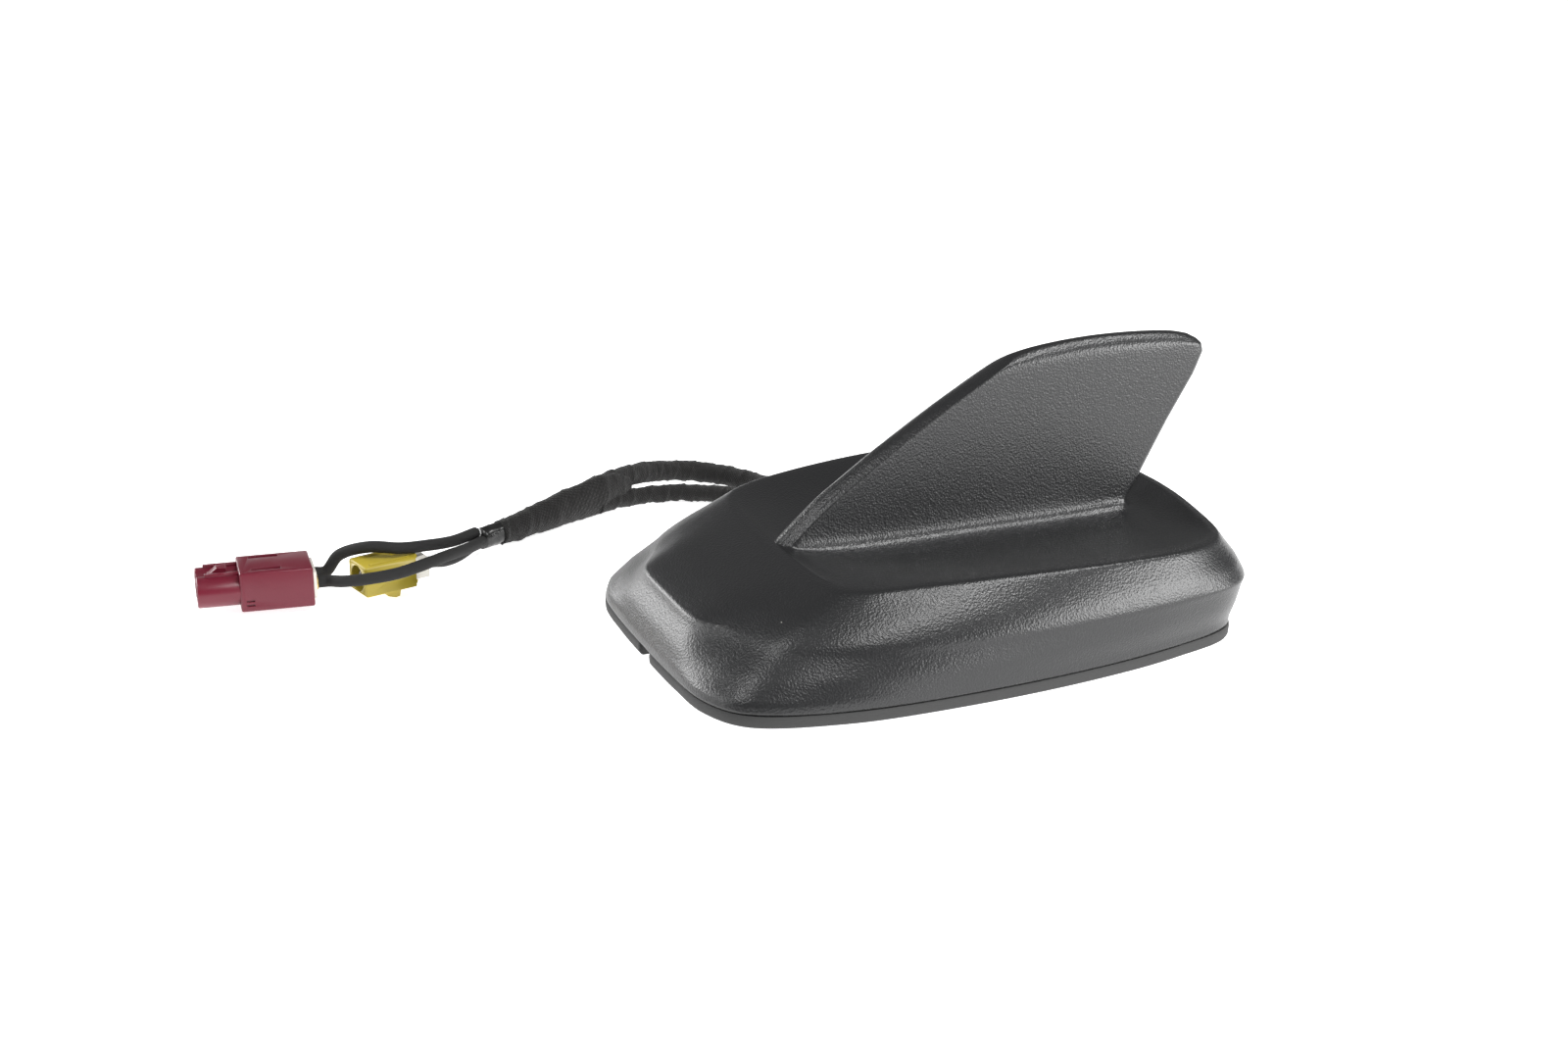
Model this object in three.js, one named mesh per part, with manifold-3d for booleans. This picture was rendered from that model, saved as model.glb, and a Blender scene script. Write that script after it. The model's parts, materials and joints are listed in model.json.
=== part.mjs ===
// Car roof antenna: wide shark-fin radome on a cast base, with taped coax pigtails.
// Units are millimetres. +X runs to the rear of the car, -X to the low nose, +Z up.
// The base's mounting boss stands on z = 0, so the seal hangs STAND above it.
import * as THREE from 'three';
import Module from 'manifold-3d';

const wasm = await Module();
wasm.setup();
const { Manifold, Mesh: SolidMesh } = wasm;

// ---------------------------------------------------------------- driving sizes
const LENGTH = 154.2; // nose of the seal to the fin's tip
const WIDTH = 112; // across the seal
const FIN_TOP = 84.2; // fin's crown above the ground
const STAND = 14; // seal's underside above the ground (height of the mounting boss)
const SEAL_H = 3.2; // seal thickness
const GAP = 0.3; // clearance between touching pieces
const WALL = 2.2; // radome wall
const WAIST_Z = STAND + 17; // widest line of the flank
const DECK_Z = STAND + 26.4; // deck edge at its ends
const DECK_CROWN = 2.4; // how much the deck edge rises amidships
const DISH = 3.4; // how far the deck sinks from its edge to the fin's foot
const PLATE_T = 3; // base plate web
const FLANGE_T = 2; // flange that clamps the seal
const SEAL_IN = 6.5; // seal width, outer edge to plate
const RIM_IN = WALL + 0.7; // flange edge, measured in from the seal outline
const BOARD_T = 1.6; // main board
const BOARD_LIFT = 4; // board above the flange
const BOLT_D = 6; // clamp bolt thread
const BOLT_PITCH = 1; // clamp bolt lead per turn
const COAX_D = 3.3; // cable jacket
const PORT_D = 8.5; // plug barrel
const PORT_PITCH = 9.6; // barrels of the double plug
const NOTCH_W = 7; // drain notch at the nose of the seal

const SX = LENGTH / 154.2; // plan scale lengthwise
const SY = WIDTH / 112; // plan scale crosswise
const RING = 60; // points in every radome ring
const HALF = RING / 2;

// ---------------------------------------------------------------- materials
const paint = (color, roughness, metalness = 0) =>
  new THREE.MeshStandardMaterial({ color, roughness, metalness });
const FINISH = {
  radome: () => paint(0x3c3c3e, 0.62),
  rubber: () => paint(0x2a2a2a, 0.85),
  foam: () => paint(0x1d1d1f, 0.95),
  cast: () => paint(0xa9abad, 0.5, 1),
  steel: () => paint(0xb8babd, 0.35, 1),
  dark: () => paint(0x55575a, 0.4, 1),
  tin: () => paint(0xc9cbcd, 0.3, 1),
  brass: () => paint(0xc9a24b, 0.35, 1),
  board: () => paint(0x1f5a35, 0.5),
  ceramic: () => paint(0xd9cfc0, 0.45),
  jacket: () => paint(0x1b1b1c, 0.45),
  tape: () => paint(0x1c1a19, 0.95),
  shrink: () => paint(0x141414, 0.35),
  violet: () => paint(0x7d2b3e, 0.5),
  yellow: () => paint(0xb3a53c, 0.5),
  white: () => paint(0xe9e7e0, 0.5),
};

const group = new THREE.Group();
group.name = 'roof_antenna';

// ---------------------------------------------------------------- mesh helpers
function put(name, geometry, finish) {
  const mesh = new THREE.Mesh(geometry, FINISH[finish]());
  mesh.name = name;
  group.add(mesh);
  return mesh;
}

function shape(points, faces) {
  const geometry = new THREE.BufferGeometry();
  geometry.setAttribute('position', new THREE.Float32BufferAttribute(points.flat(), 3));
  geometry.setIndex(faces.flat());
  return geometry;
}

// Stacks rings of equal point count into one closed body.
function loft(rings, closed = false) {
  const n = rings[0].length;
  const points = rings.flat();
  const faces = [];
  const count = rings.length;
  const spans = closed ? count : count - 1;
  for (let r = 0; r < spans; r += 1) {
    const a = r * n;
    const b = ((r + 1) % count) * n;
    for (let i = 0; i < n; i += 1) {
      const j = (i + 1) % n;
      faces.push([a + i, a + j, b + j], [a + i, b + j, b + i]);
    }
  }
  if (!closed) {
    const top = (count - 1) * n;
    const flat = (ring) => ring.map((p) => new THREE.Vector2(p[0], p[1]));
    const capOf = (ring) => THREE.ShapeUtils.triangulateShape(flat(ring), []);
    for (const [a, b, c] of capOf(rings[0])) faces.push([c, b, a]);
    for (const [a, b, c] of capOf(rings[count - 1])) faces.push([top + a, top + b, top + c]);
  }
  return shape(points, faces);
}

// Turns a closed geometry to face outwards and hands it to the solid kernel.
function solidOf(geometry) {
  const source = geometry.index ? geometry.toNonIndexed() : geometry;
  const pos = source.attributes.position;
  const seen = new Map();
  const verts = [];
  const tris = [];
  for (let i = 0; i < pos.count; i += 1) {
    const p = [pos.getX(i), pos.getY(i), pos.getZ(i)];
    const key = p.map((v) => Math.round(v * 1e4)).join(',');
    if (!seen.has(key)) {
      seen.set(key, verts.length / 3);
      verts.push(...p);
    }
    tris.push(seen.get(key));
  }
  const kept = [];
  let volume = 0;
  const at = (k) => new THREE.Vector3(verts[3 * k], verts[3 * k + 1], verts[3 * k + 2]);
  for (let i = 0; i < tris.length; i += 3) {
    const [a, b, c] = [tris[i], tris[i + 1], tris[i + 2]];
    if (a === b || b === c || a === c) continue;
    kept.push(a, b, c);
    volume += at(a).dot(at(b).cross(at(c)));
  }
  if (volume < 0) {
    for (let i = 0; i < kept.length; i += 3) {
      [kept[i], kept[i + 1]] = [kept[i + 1], kept[i]];
    }
  }
  return new Manifold(
    new SolidMesh({
      numProp: 3,
      vertProperties: new Float32Array(verts),
      triVerts: new Uint32Array(kept),
    }),
  );
}

function geometryOf(solid) {
  const mesh = solid.getMesh();
  const geometry = new THREE.BufferGeometry();
  const flat = [];
  for (let i = 0; i < mesh.numVert; i += 1) {
    flat.push(
      mesh.vertProperties[i * mesh.numProp],
      mesh.vertProperties[i * mesh.numProp + 1],
      mesh.vertProperties[i * mesh.numProp + 2],
    );
  }
  geometry.setAttribute('position', new THREE.Float32BufferAttribute(flat, 3));
  geometry.setIndex(Array.from(mesh.triVerts));
  return geometry;
}

const join = (...parts) => parts.reduce((a, b) => a.add(b));
const cut = (body, ...tools) => tools.reduce((a, b) => a.subtract(b), body);

// Primitive solids, all made by three.js and placed by hand.
function box(lx, ly, lz, x, y, z) {
  return solidOf(new THREE.BoxGeometry(lx, ly, lz).translate(x, y, z));
}

function rod(radius, z0, z1, x, y, sides = 24, tip = radius) {
  const geometry = new THREE.CylinderGeometry(tip, radius, z1 - z0, sides);
  return solidOf(geometry.rotateX(Math.PI / 2).translate(x, y, (z0 + z1) / 2));
}

function rodX(radius, x0, x1, y, z, sides = 24, tip = radius) {
  const geometry = new THREE.CylinderGeometry(tip, radius, x1 - x0, sides);
  return solidOf(geometry.rotateZ(-Math.PI / 2).translate((x0 + x1) / 2, y, z));
}

function slab(points, z0, z1, holes = []) {
  const outline = new THREE.Shape(points.map((p) => new THREE.Vector2(p[0], p[1])));
  for (const hole of holes) {
    outline.holes.push(new THREE.Path(hole.map((p) => new THREE.Vector2(p[0], p[1]))));
  }
  const geometry = new THREE.ExtrudeGeometry(outline, { depth: z1 - z0, bevelEnabled: false });
  return solidOf(geometry.translate(0, 0, z0));
}

function roundedBox(lx, ly, z0, z1, x, y, corner, steps = 3) {
  const points = [];
  const quads = [
    [1, 1, 0],
    [-1, 1, 1],
    [-1, -1, 2],
    [1, -1, 3],
  ];
  for (const [qx, qy, turn] of quads) {
    for (let i = 0; i <= steps; i += 1) {
      const a = (turn + i / steps) * (Math.PI / 2);
      const cx = x + qx * (lx / 2 - corner);
      const cy = y + qy * (ly / 2 - corner);
      points.push([cx + corner * Math.cos(a), cy + corner * Math.sin(a)]);
    }
  }
  return slab(points, z0, z1);
}

// A body swept along hand-picked way points. Each way point is [x, y, z, width, height].
function sweep(route, steps, sides) {
  const line = new THREE.CatmullRomCurve3(
    route.map((p) => new THREE.Vector3(p[0], p[1], p[2])),
    false,
    'centripetal',
  );
  const rings = [];
  for (let i = 0; i <= steps; i += 1) {
    const t = i / steps;
    const centre = line.getPoint(t);
    const along = line.getTangent(t);
    const side = new THREE.Vector3(-along.y, along.x, 0).normalize();
    const rise = new THREE.Vector3().crossVectors(along, side).normalize();
    const k = Math.min(Math.floor(t * (route.length - 1)), route.length - 2);
    const f = t * (route.length - 1) - k;
    const w = route[k][3] * (1 - f) + route[k + 1][3] * f;
    const h = route[k][4] * (1 - f) + route[k + 1][4] * f;
    const ring = [];
    for (let s = 0; s < sides; s += 1) {
      const a = ((s + 0.5) / sides) * Math.PI * 2;
      const p = centre
        .clone()
        .addScaledVector(side, (Math.cos(a) * w) / 2)
        .addScaledVector(rise, (Math.sin(a) * h) / 2);
      ring.push([p.x, p.y, p.z]);
    }
    rings.push(ring);
  }
  const n = sides;
  const points = rings.flat();
  const faces = [];
  for (let r = 0; r < steps; r += 1) {
    for (let i = 0; i < n; i += 1) {
      const j = (i + 1) % n;
      const a = r * n;
      const b = a + n;
      faces.push([a + i, a + j, b + j], [a + i, b + j, b + i]);
    }
  }
  const last = steps * n;
  for (let i = 1; i < n - 1; i += 1) {
    faces.push([0, i + 1, i], [last, last + i, last + i + 1]);
  }
  return geometryOf(solidOf(shape(points, faces)));
}

// ---------------------------------------------------------------- plan outlines
// Half outlines, nose to tail, as [x, half width]; the same eleven stations on each,
// with the front corner at station 3 and the rear corner at station 8.
const BOTTOM = [
  [-77.1, 0], [-76.8, 20], [-75.2, 36], [-68.5, 47.4], [-46, 54.6], [-15, 56],
  [20, 53.6], [46, 48.8], [64.2, 41.9], [70, 27], [71.8, 0],
];
const WAIST = [
  [-70.8, 0], [-70.3, 18], [-67.2, 30], [-60.5, 38.6], [-42, 49.2], [-8, 55.2],
  [26, 54.8], [50, 51.4], [65.6, 45.4], [72.3, 28], [74.3, 0],
];
const DECK = [
  [-44, 0], [-43.6, 18], [-41.8, 32], [-36.5, 39.8], [-20, 44.6], [8, 48.6],
  [32, 49.2], [52, 46], [62, 38], [66.5, 20], [68.5, 0],
];

// Ring of plan points from a half outline, starting at the nose, near side first.
function outline(half) {
  const loop = [];
  for (const [x, w] of half) loop.push(new THREE.Vector3(x * SX, -w * SY, 0));
  for (let i = half.length - 2; i > 0; i -= 1) {
    loop.push(new THREE.Vector3(half[i][0] * SX, half[i][1] * SY, 0));
  }
  const curve = new THREE.CatmullRomCurve3(loop, true, 'centripetal');
  const ring = [];
  for (let i = 0; i < RING; i += 1) {
    const p = curve.getPoint(i / RING);
    ring.push([p.x, p.y]);
  }
  return ring;
}

function inset(ring, distance) {
  return ring.map((p, i) => {
    const a = ring[(i + ring.length - 1) % ring.length];
    const b = ring[(i + 1) % ring.length];
    const tx = b[0] - a[0];
    const ty = b[1] - a[1];
    const len = Math.hypot(tx, ty);
    return [p[0] - (ty / len) * distance, p[1] + (tx / len) * distance];
  });
}

const mix = (a, b, t) => a.map((p, i) => [p[0] + (b[i][0] - p[0]) * t, p[1] + (b[i][1] - p[1]) * t]);
const lift = (ring, z) => ring.map((p, i) => [p[0], p[1], typeof z === 'function' ? z(p, i) : z]);

const bottomRing = outline(BOTTOM);
const deckRing = outline(DECK);
// The waist is drawn in at the front corners, where the flank runs straight down.
const waistRing = outline(WAIST).map((p, i) => {
  const d = Math.min(i, RING - i);
  const ease = (t) => Math.min(1, Math.max(0, t)) ** 2 * (3 - 2 * Math.min(1, Math.max(0, t)));
  const share = 0.42 * ease((d - 3) / 2.5) * ease((11 - d) / 3.5);
  const [low, high] = [bottomRing[i], deckRing[i]];
  return p.map((v, k) => v + (low[k] + (high[k] - low[k]) * 0.59 - v) * share);
});
const deckMid = (DECK[0][0] + DECK[10][0]) / 2;
const deckReach = (DECK[10][0] - DECK[0][0]) / 2;
const deckEdgeZ = (x) => DECK_Z + DECK_CROWN * (1 - Math.min(1, ((x / SX - deckMid) / deckReach) ** 2));

// ---------------------------------------------------------------- fin
const NOSE_X = -41.8; // leading edge at the deck
const TAIL_X = 55; // trailing edge at the deck
const FIN_SCALE = (FIN_TOP - DECK_Z) / (84.2 - 40.4);
const FOOT_LINE = [
  [-41.8, DECK_Z - 0.2], [-36, DECK_Z - 1.7], [-24, DECK_Z - DISH + 0.2], [10, DECK_Z - DISH],
  [40, DECK_Z - DISH], [55, DECK_Z - DISH + 0.4],
];
const rise = (z) => DECK_Z + (z - 40.4) * FIN_SCALE;
const LEAD_LINE = [
  [-41.8, DECK_Z - 0.2], [-34.5, rise(47.4)], [-22, rise(56.4)], [-8.8, rise(64.9)],
  [3.7, rise(72.2)], [14.5, rise(78)], [20.8, rise(81.2)],
];
const CROWN_LINE = [
  [20.8, rise(81.2)], [23.2, rise(82)], [29.8, rise(83.2)], [43, rise(84.2)],
  [57, rise(84)], [68, rise(83)], [73, rise(81.8)],
];
const TRAIL_LINE = [
  [55, DECK_Z - DISH + 0.4], [57.3, rise(42)], [60.8, rise(47.8)], [65.7, rise(57)],
  [70.7, rise(65.4)], [74.8, rise(72)], [77, rise(76.4)], [76.4, rise(79.6)], [73, rise(81.8)],
];
const curveOf = (line) =>
  new THREE.CatmullRomCurve3(
    line.map(([x, z]) => new THREE.Vector3(x * SX, 0, z)),
    false,
    'centripetal',
  );
const footCurve = curveOf(FOOT_LINE);
const leadCurve = curveOf(LEAD_LINE);
const crownCurve = curveOf(CROWN_LINE);
const trailCurve = curveOf(TRAIL_LINE);

// Point on the fin's middle plane: u runs nose to tail, s foot to crown.
function finPoint(u, s) {
  const b = footCurve.getPoint(u);
  const t = crownCurve.getPoint(u);
  const l = leadCurve.getPoint(s);
  const r = trailCurve.getPoint(s);
  const corner = (k) =>
    (1 - u) * (1 - s) * footCurve.getPoint(0)[k] +
    u * (1 - s) * footCurve.getPoint(1)[k] +
    (1 - u) * s * crownCurve.getPoint(0)[k] +
    u * s * crownCurve.getPoint(1)[k];
  const at = (k) => (1 - s) * b[k] + s * t[k] + (1 - u) * l[k] + u * r[k] - corner(k);
  return [at('x'), at('z')];
}

const FOOT_T = 4.3; // fin half thickness at the foot
const HEAD_T = 3.3; // fin half thickness under the crown bevel
const EDGE_T = 1.35; // half thickness of the rounded leading edge
const BEVEL = 7.6; // leading bevel width
const FILLET = 3.2; // foot fillet reach

// Distance behind the leading edge and the half thickness there, for ring index k.
function section(k, chord, body) {
  const lead = [
    [0, 0], [0.35, 0.55], [0.9, 0.85], [1.35, 1],
  ];
  if (k < 4) return [lead[k][0], EDGE_T * lead[k][1]];
  if (k <= 9) {
    const f = (k - 3) / 6;
    return [1.35 + (BEVEL - 1.35) * f, EDGE_T + (body - EDGE_T) * Math.min(1, 0.06 + 1.02 * f)];
  }
  if (k <= 24) {
    const f = (k - 9) / 15;
    return [BEVEL + (chord - BEVEL - 3.4) * f, body];
  }
  const tail = [
    [3.4, 1], [2.5, 0.93], [1.6, 0.82], [0.9, 0.68], [0.4, 0.5], [0.1, 0.26], [0, 0],
  ];
  const [d, w] = tail[k - 24];
  return [chord - d, body * w];
}

function finRing(s, slim, inner = 0) {
  const low = finPoint(0, s);
  const high = finPoint(1, s);
  const chord = Math.hypot(high[0] - low[0], high[1] - low[1]);
  const full = FOOT_T + (HEAD_T - FOOT_T) * s;
  const half = [];
  for (let k = 0; k <= HALF; k += 1) {
    let [d, t] = section(k, chord, full);
    t *= slim;
    if (inner > 0) {
      const span = chord - 2 * inner;
      d = inner + (d / chord) * span;
      t = Math.min(Math.max(t - WALL * 0.9, 0), full * slim - WALL * 0.9);
      const ends = Math.min(d - inner, chord - inner - d) / 3;
      t = Math.min(full * slim - WALL * 0.9, Math.max(0, ends));
    }
    const [x, z] = finPoint(d / chord, s);
    half.push([x, t, z]);
  }
  const ring = half.map(([x, t, z]) => [x, -t, z]);
  for (let k = HALF - 1; k > 0; k -= 1) ring.push([half[k][0], half[k][1], half[k][2]]);
  return ring;
}

// Spreads a fin ring outwards to make the foot fillet.
function spread(ring, reach, z) {
  const plan = inset(ring, -reach);
  return ring.map((p, i) => {
    const near = Math.min(1, Math.max(0.12, (p[0] / SX - NOSE_X) / 14));
    return [p[0] + (plan[i][0] - p[0]) * near, p[1] + (plan[i][1] - p[1]) * near, p[2] + z];
  });
}

// ---------------------------------------------------------------- radome
const rimZ = STAND + SEAL_H + GAP;
const bulge = inset(mix(waistRing, deckRing, 0.34), -0.8);
const bulgeHigh = inset(mix(waistRing, deckRing, 0.72), -0.7);
const footRing = spread(finRing(0, 1), FILLET, 0);

function dishRing(t, from) {
  return from.map((p, i) => {
    const q = footRing[i];
    const fall = 1 - (1 - t) * (1 - t);
    const z = deckEdgeZ(p[0]) + (q[2] - deckEdgeZ(p[0])) * fall;
    return [p[0] + (q[0] - p[0]) * t, p[1] + (q[1] - p[1]) * t, z];
  });
}

const lerpZ = (f) => (p) => WAIST_Z + (deckEdgeZ(p[0]) - WAIST_Z) * f;
const deckInner = inset(deckRing, 1.5);
const outerSkin = [
  lift(bottomRing, rimZ),
  lift(inset(mix(bottomRing, waistRing, 0.06), -0.1), rimZ + 2.2),
  lift(inset(mix(bottomRing, waistRing, 0.42), -0.5), rimZ + (WAIST_Z - rimZ) * 0.5),
  lift(inset(mix(bottomRing, waistRing, 0.85), -0.25), rimZ + (WAIST_Z - rimZ) * 0.86),
  lift(waistRing, WAIST_Z),
  lift(inset(mix(waistRing, deckRing, 0.1), -0.35), lerpZ(0.13)),
  lift(bulge, lerpZ(0.4)),
  lift(bulgeHigh, lerpZ(0.75)),
  lift(inset(mix(waistRing, deckRing, 0.94), -0.35), lerpZ(0.95)),
  lift(deckRing, (p) => deckEdgeZ(p[0]) - 0.12),
  lift(deckInner, (p) => deckEdgeZ(p[0])),
  dishRing(0.22, deckInner),
  dishRing(0.48, deckInner),
  dishRing(0.76, deckInner),
  footRing,
  spread(finRing(0.012, 1), FILLET * 0.46, 0.1),
  spread(finRing(0.035, 1), FILLET * 0.16, 0.1),
  finRing(0.08, 1),
  finRing(0.22, 1),
  finRing(0.42, 1),
  finRing(0.62, 1),
  finRing(0.78, 1),
  finRing(0.865, 0.98),
  finRing(0.92, 0.8),
  finRing(0.965, 0.56),
  finRing(0.988, 0.4),
  finRing(1, 0.2),
];

const fallBy = (ring, dz) => ring.map((p) => [p[0], p[1], p[2] - dz]);
const footHollow = finRing(0.02, 1, 4.6);
const hollowEdge = inset(deckRing, 3);
const innerDish = (t) =>
  lift(hollowEdge, 0).map((p, i) => {
    const q = footHollow[i];
    const edge = deckEdgeZ(deckRing[i][0]) - WALL - 0.3;
    const fall = 1 - (1 - t) * (1 - t);
    const foot = footRing[i][2] - WALL - 0.2;
    return [p[0] + (q[0] - p[0]) * t, p[1] + (q[1] - p[1]) * t, edge + (foot - edge) * fall];
  });
const innerSkin = [
  lift(inset(bottomRing, WALL), rimZ),
  lift(inset(mix(bottomRing, waistRing, 0.45), WALL), rimZ + (WAIST_Z - rimZ) * 0.5),
  lift(inset(mix(waistRing, deckRing, 0.06), WALL + 0.4), WAIST_Z - 1.4),
  lift(inset(mix(waistRing, deckRing, 0.5), WALL + 0.6), (p) => WAIST_Z + (deckEdgeZ(p[0]) - WAIST_Z) * 0.36),
  innerDish(0),
  innerDish(0.35),
  innerDish(0.7),
  fallBy(finRing(0.02, 1, 4.6), WALL * 0.6),
  finRing(0.2, 1, 4.4),
  finRing(0.5, 1, 4.4),
  finRing(0.86, 1, 4.4),
];

const shell = cut(solidOf(loft(outerSkin)), solidOf(loft([fallBy(innerSkin[0], 2), ...innerSkin])));
const POSTS = [
  [-50, 31], [-50, -31], [50, 34], [50, -34],
].map(([x, y]) => [x * SX, y * SY]);
const flangeTop = STAND + SEAL_H + GAP + FLANGE_T;
const postFoot = flangeTop + GAP;
const SCREW_D = 2.9;
let radome = shell;
for (const [x, y] of POSTS) {
  const top = x < 0 ? WAIST_Z + 4.4 : DECK_Z - 2.5;
  radome = join(radome, rod(3, postFoot, top, x, y, 16));
}
for (const [x, y] of POSTS) {
  radome = cut(radome, rod(SCREW_D / 2 + 0.1, postFoot - 1, postFoot + 8.3, x, y, 12));
}
put('radome', geometryOf(radome), 'radome');

// ---------------------------------------------------------------- perimeter seal
const sealTop = STAND + SEAL_H;
const sealRings = [
  lift(inset(bottomRing, 0.6), STAND),
  lift(inset(bottomRing, 0.1), STAND + 0.7),
  lift(bottomRing, sealTop - 1),
  lift(inset(bottomRing, 0.15), sealTop),
  lift(inset(bottomRing, SEAL_IN), sealTop),
  lift(inset(bottomRing, SEAL_IN), STAND),
];
const sealBody = solidOf(loft(sealRings, true));
const notch = box(9, NOTCH_W, SEAL_H * 2, -77.1 * SX + 2.4, 0, STAND + 0.2);
put('perimeter_seal', geometryOf(cut(sealBody, notch)), 'rubber');

// ---------------------------------------------------------------- cast base plate
const BOSS_X = 4 * SX; // middle of the mounting boss
const LEG_L = 11; // boss leg along X
const LEG_W = 24; // boss leg along Y
const LEG_GAP = 18; // clear space between the legs
const plateLow = STAND + 1;
// The flange follows the radome inwards at the nose, and the rim elsewhere.
const flangeEdge = mix(bottomRing, waistRing, 0.3).map((p, i) =>
  Math.hypot(...p) < Math.hypot(...bottomRing[i]) ? p : bottomRing[i],
);
const plateRings = [
  lift(inset(bottomRing, SEAL_IN + GAP), plateLow),
  lift(inset(bottomRing, SEAL_IN + GAP), sealTop + GAP),
  lift(inset(flangeEdge, RIM_IN), sealTop + GAP),
  lift(inset(flangeEdge, RIM_IN), flangeTop),
];
const legOffset = LEG_GAP / 2 + LEG_L / 2;
let base = solidOf(loft(plateRings));
for (const side of [-1, 1]) {
  base = join(
    base,
    roundedBox(LEG_L, LEG_W, 0, plateLow + 1, BOSS_X + side * legOffset, 0, 2),
  );
}
const insertR = 5;
base = join(base, rod(insertR + 2.4, plateLow - 2.5, flangeTop + 6, BOSS_X, 0, 32));
base = cut(base, rod(insertR, plateLow - 3, flangeTop + 7, BOSS_X, 0, 32));
// Guide slots for the claw's tongues.
const TONGUE_W = 6;
const TONGUE_IN = 2.2;
for (const side of [-1, 1]) {
  const face = BOSS_X + side * (LEG_GAP / 2);
  base = cut(base, box(TONGUE_IN * 2 + 0.8, TONGUE_W + 0.8, plateLow - 1, face, 0, (plateLow - 1) / 2 - 0.01));
}
// Cable opening.
const BOOT_X = 6 * SX;
const CLAW_REACH = 6.6; // how far the claw's prongs stand out past the legs
const BOOT_Y = LEG_W / 2 + CLAW_REACH + 8.2;
const bootNeck = [15, 8];
base = cut(
  base,
  roundedBox(bootNeck[0] + 0.6, bootNeck[1] + 0.6, plateLow - 1, flangeTop + 1, BOOT_X, BOOT_Y, 2),
);
// Board stand-offs.
const boardZ = flangeTop + BOARD_LIFT;
const STANDS = [
  [-44, 20], [-44, -20], [44, 28], [44, -28],
].map(([x, y]) => [x * SX, y * SY]);
const BOARD_SCREW_D = 2.5;
for (const [x, y] of STANDS) {
  base = join(base, rod(3.4, flangeTop - 0.5, boardZ - GAP, x, y, 16));
}
for (const [x, y] of STANDS) {
  base = cut(base, rod(BOARD_SCREW_D / 2 + 0.1, boardZ - 4.5, boardZ + 1, x, y, 12));
}
// Radome screws pass up through the plate, heads let into its underside.
for (const [x, y] of POSTS) {
  base = cut(
    base,
    rod(SCREW_D / 2 + 0.35, plateLow - 1, flangeTop + 1, x, y, 12),
    rod(3.1, plateLow - 1, plateLow + 1.9, x, y, 16),
  );
}
put('base_plate', geometryOf(base), 'cast');

// ---------------------------------------------------------------- hole gasket
const gasketY = (BOOT_Y + 7 - LEG_W / 2 - CLAW_REACH) / 2;
const gasketW = BOOT_Y + 7 + LEG_W / 2 + CLAW_REACH + 6;
const gasketOut = roundedBox(60, gasketW + 8, STAND, plateLow - GAP, BOSS_X, gasketY, 8, 4);
const gasketIn = roundedBox(52, gasketW, STAND - 1, plateLow, BOSS_X, gasketY, 5, 4);
put('hole_gasket', geometryOf(cut(gasketOut, gasketIn)), 'foam');

// ---------------------------------------------------------------- threaded insert, bolt and claw
const insertTop = flangeTop + 6;
put(
  'thread_insert',
  geometryOf(
    cut(
      join(
        rod(insertR - GAP, plateLow - 2.5, insertTop, BOSS_X, 0, 32),
        rod(insertR + 1.6, insertTop + GAP, insertTop + 1.6, BOSS_X, 0, 32),
        rod(insertR - GAP, insertTop - 0.5, insertTop + 1, BOSS_X, 0, 32),
      ),
      rod(BOLT_D / 2 + GAP, plateLow - 4, insertTop + 3, BOSS_X, 0, 24),
    ),
  ),
  'steel',
);

const HEAD_Z = 1.2; // underside of the bolt head, backed off
const HEAD_H = 4;
const WASHER_H = 1;
const boltTip = plateLow + 5.2;
const hex = new THREE.CylinderGeometry(5, 5, HEAD_H, 6).rotateX(Math.PI / 2);
const boltBody = join(
  solidOf(hex.translate(BOSS_X, 0, HEAD_Z + HEAD_H / 2)),
  rod(6.4, HEAD_Z + HEAD_H - 0.01, HEAD_Z + HEAD_H + WASHER_H, BOSS_X, 0, 24),
  rod(BOLT_D / 2 - 0.05, HEAD_Z + HEAD_H, boltTip - 0.6, BOSS_X, 0, 24),
  rod(BOLT_D / 2 - 0.05, boltTip - 0.61, boltTip, BOSS_X, 0, 24, BOLT_D / 2 - 0.7),
);
put('clamp_bolt', geometryOf(boltBody), 'dark');

const CLAW_T = 1.2;
const clawZ = HEAD_Z + HEAD_H + WASHER_H + GAP;
const CLAW_L = LEG_GAP + 2 * TONGUE_IN - 0.6;
let claw = join(
  box(CLAW_L, TONGUE_W, CLAW_T, BOSS_X, 0, clawZ + CLAW_T / 2),
  box(LEG_GAP - 1.6, LEG_W + 4, CLAW_T, BOSS_X, 0, clawZ + CLAW_T / 2),
);
for (const side of [-1, 1]) {
  const reach = [
    [side * (LEG_W / 2 + 1.9), clawZ],
    [side * (LEG_W / 2 + CLAW_REACH - 0.6), clawZ + 0.6],
    [side * (LEG_W / 2 + CLAW_REACH), clawZ + 2.6],
    [side * (LEG_W / 2 + CLAW_REACH - 1.1), clawZ + 2.6],
    [side * (LEG_W / 2 + CLAW_REACH - 1.6), clawZ + 1.7],
    [side * (LEG_W / 2 + 1.9), clawZ + CLAW_T],
  ];
  for (const part of [-1, 1]) {
    const prong = slab(reach, -2.6, 2.6).rotate([90, 0, 90]);
    claw = join(claw, prong.translate([BOSS_X + part * 5.2, 0, 0]));
  }
}
claw = cut(claw, rod(BOLT_D / 2 + GAP, clawZ - 1, clawZ + 3, BOSS_X, 0, 24));
put('clamp_claw', geometryOf(claw), 'steel');

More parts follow.
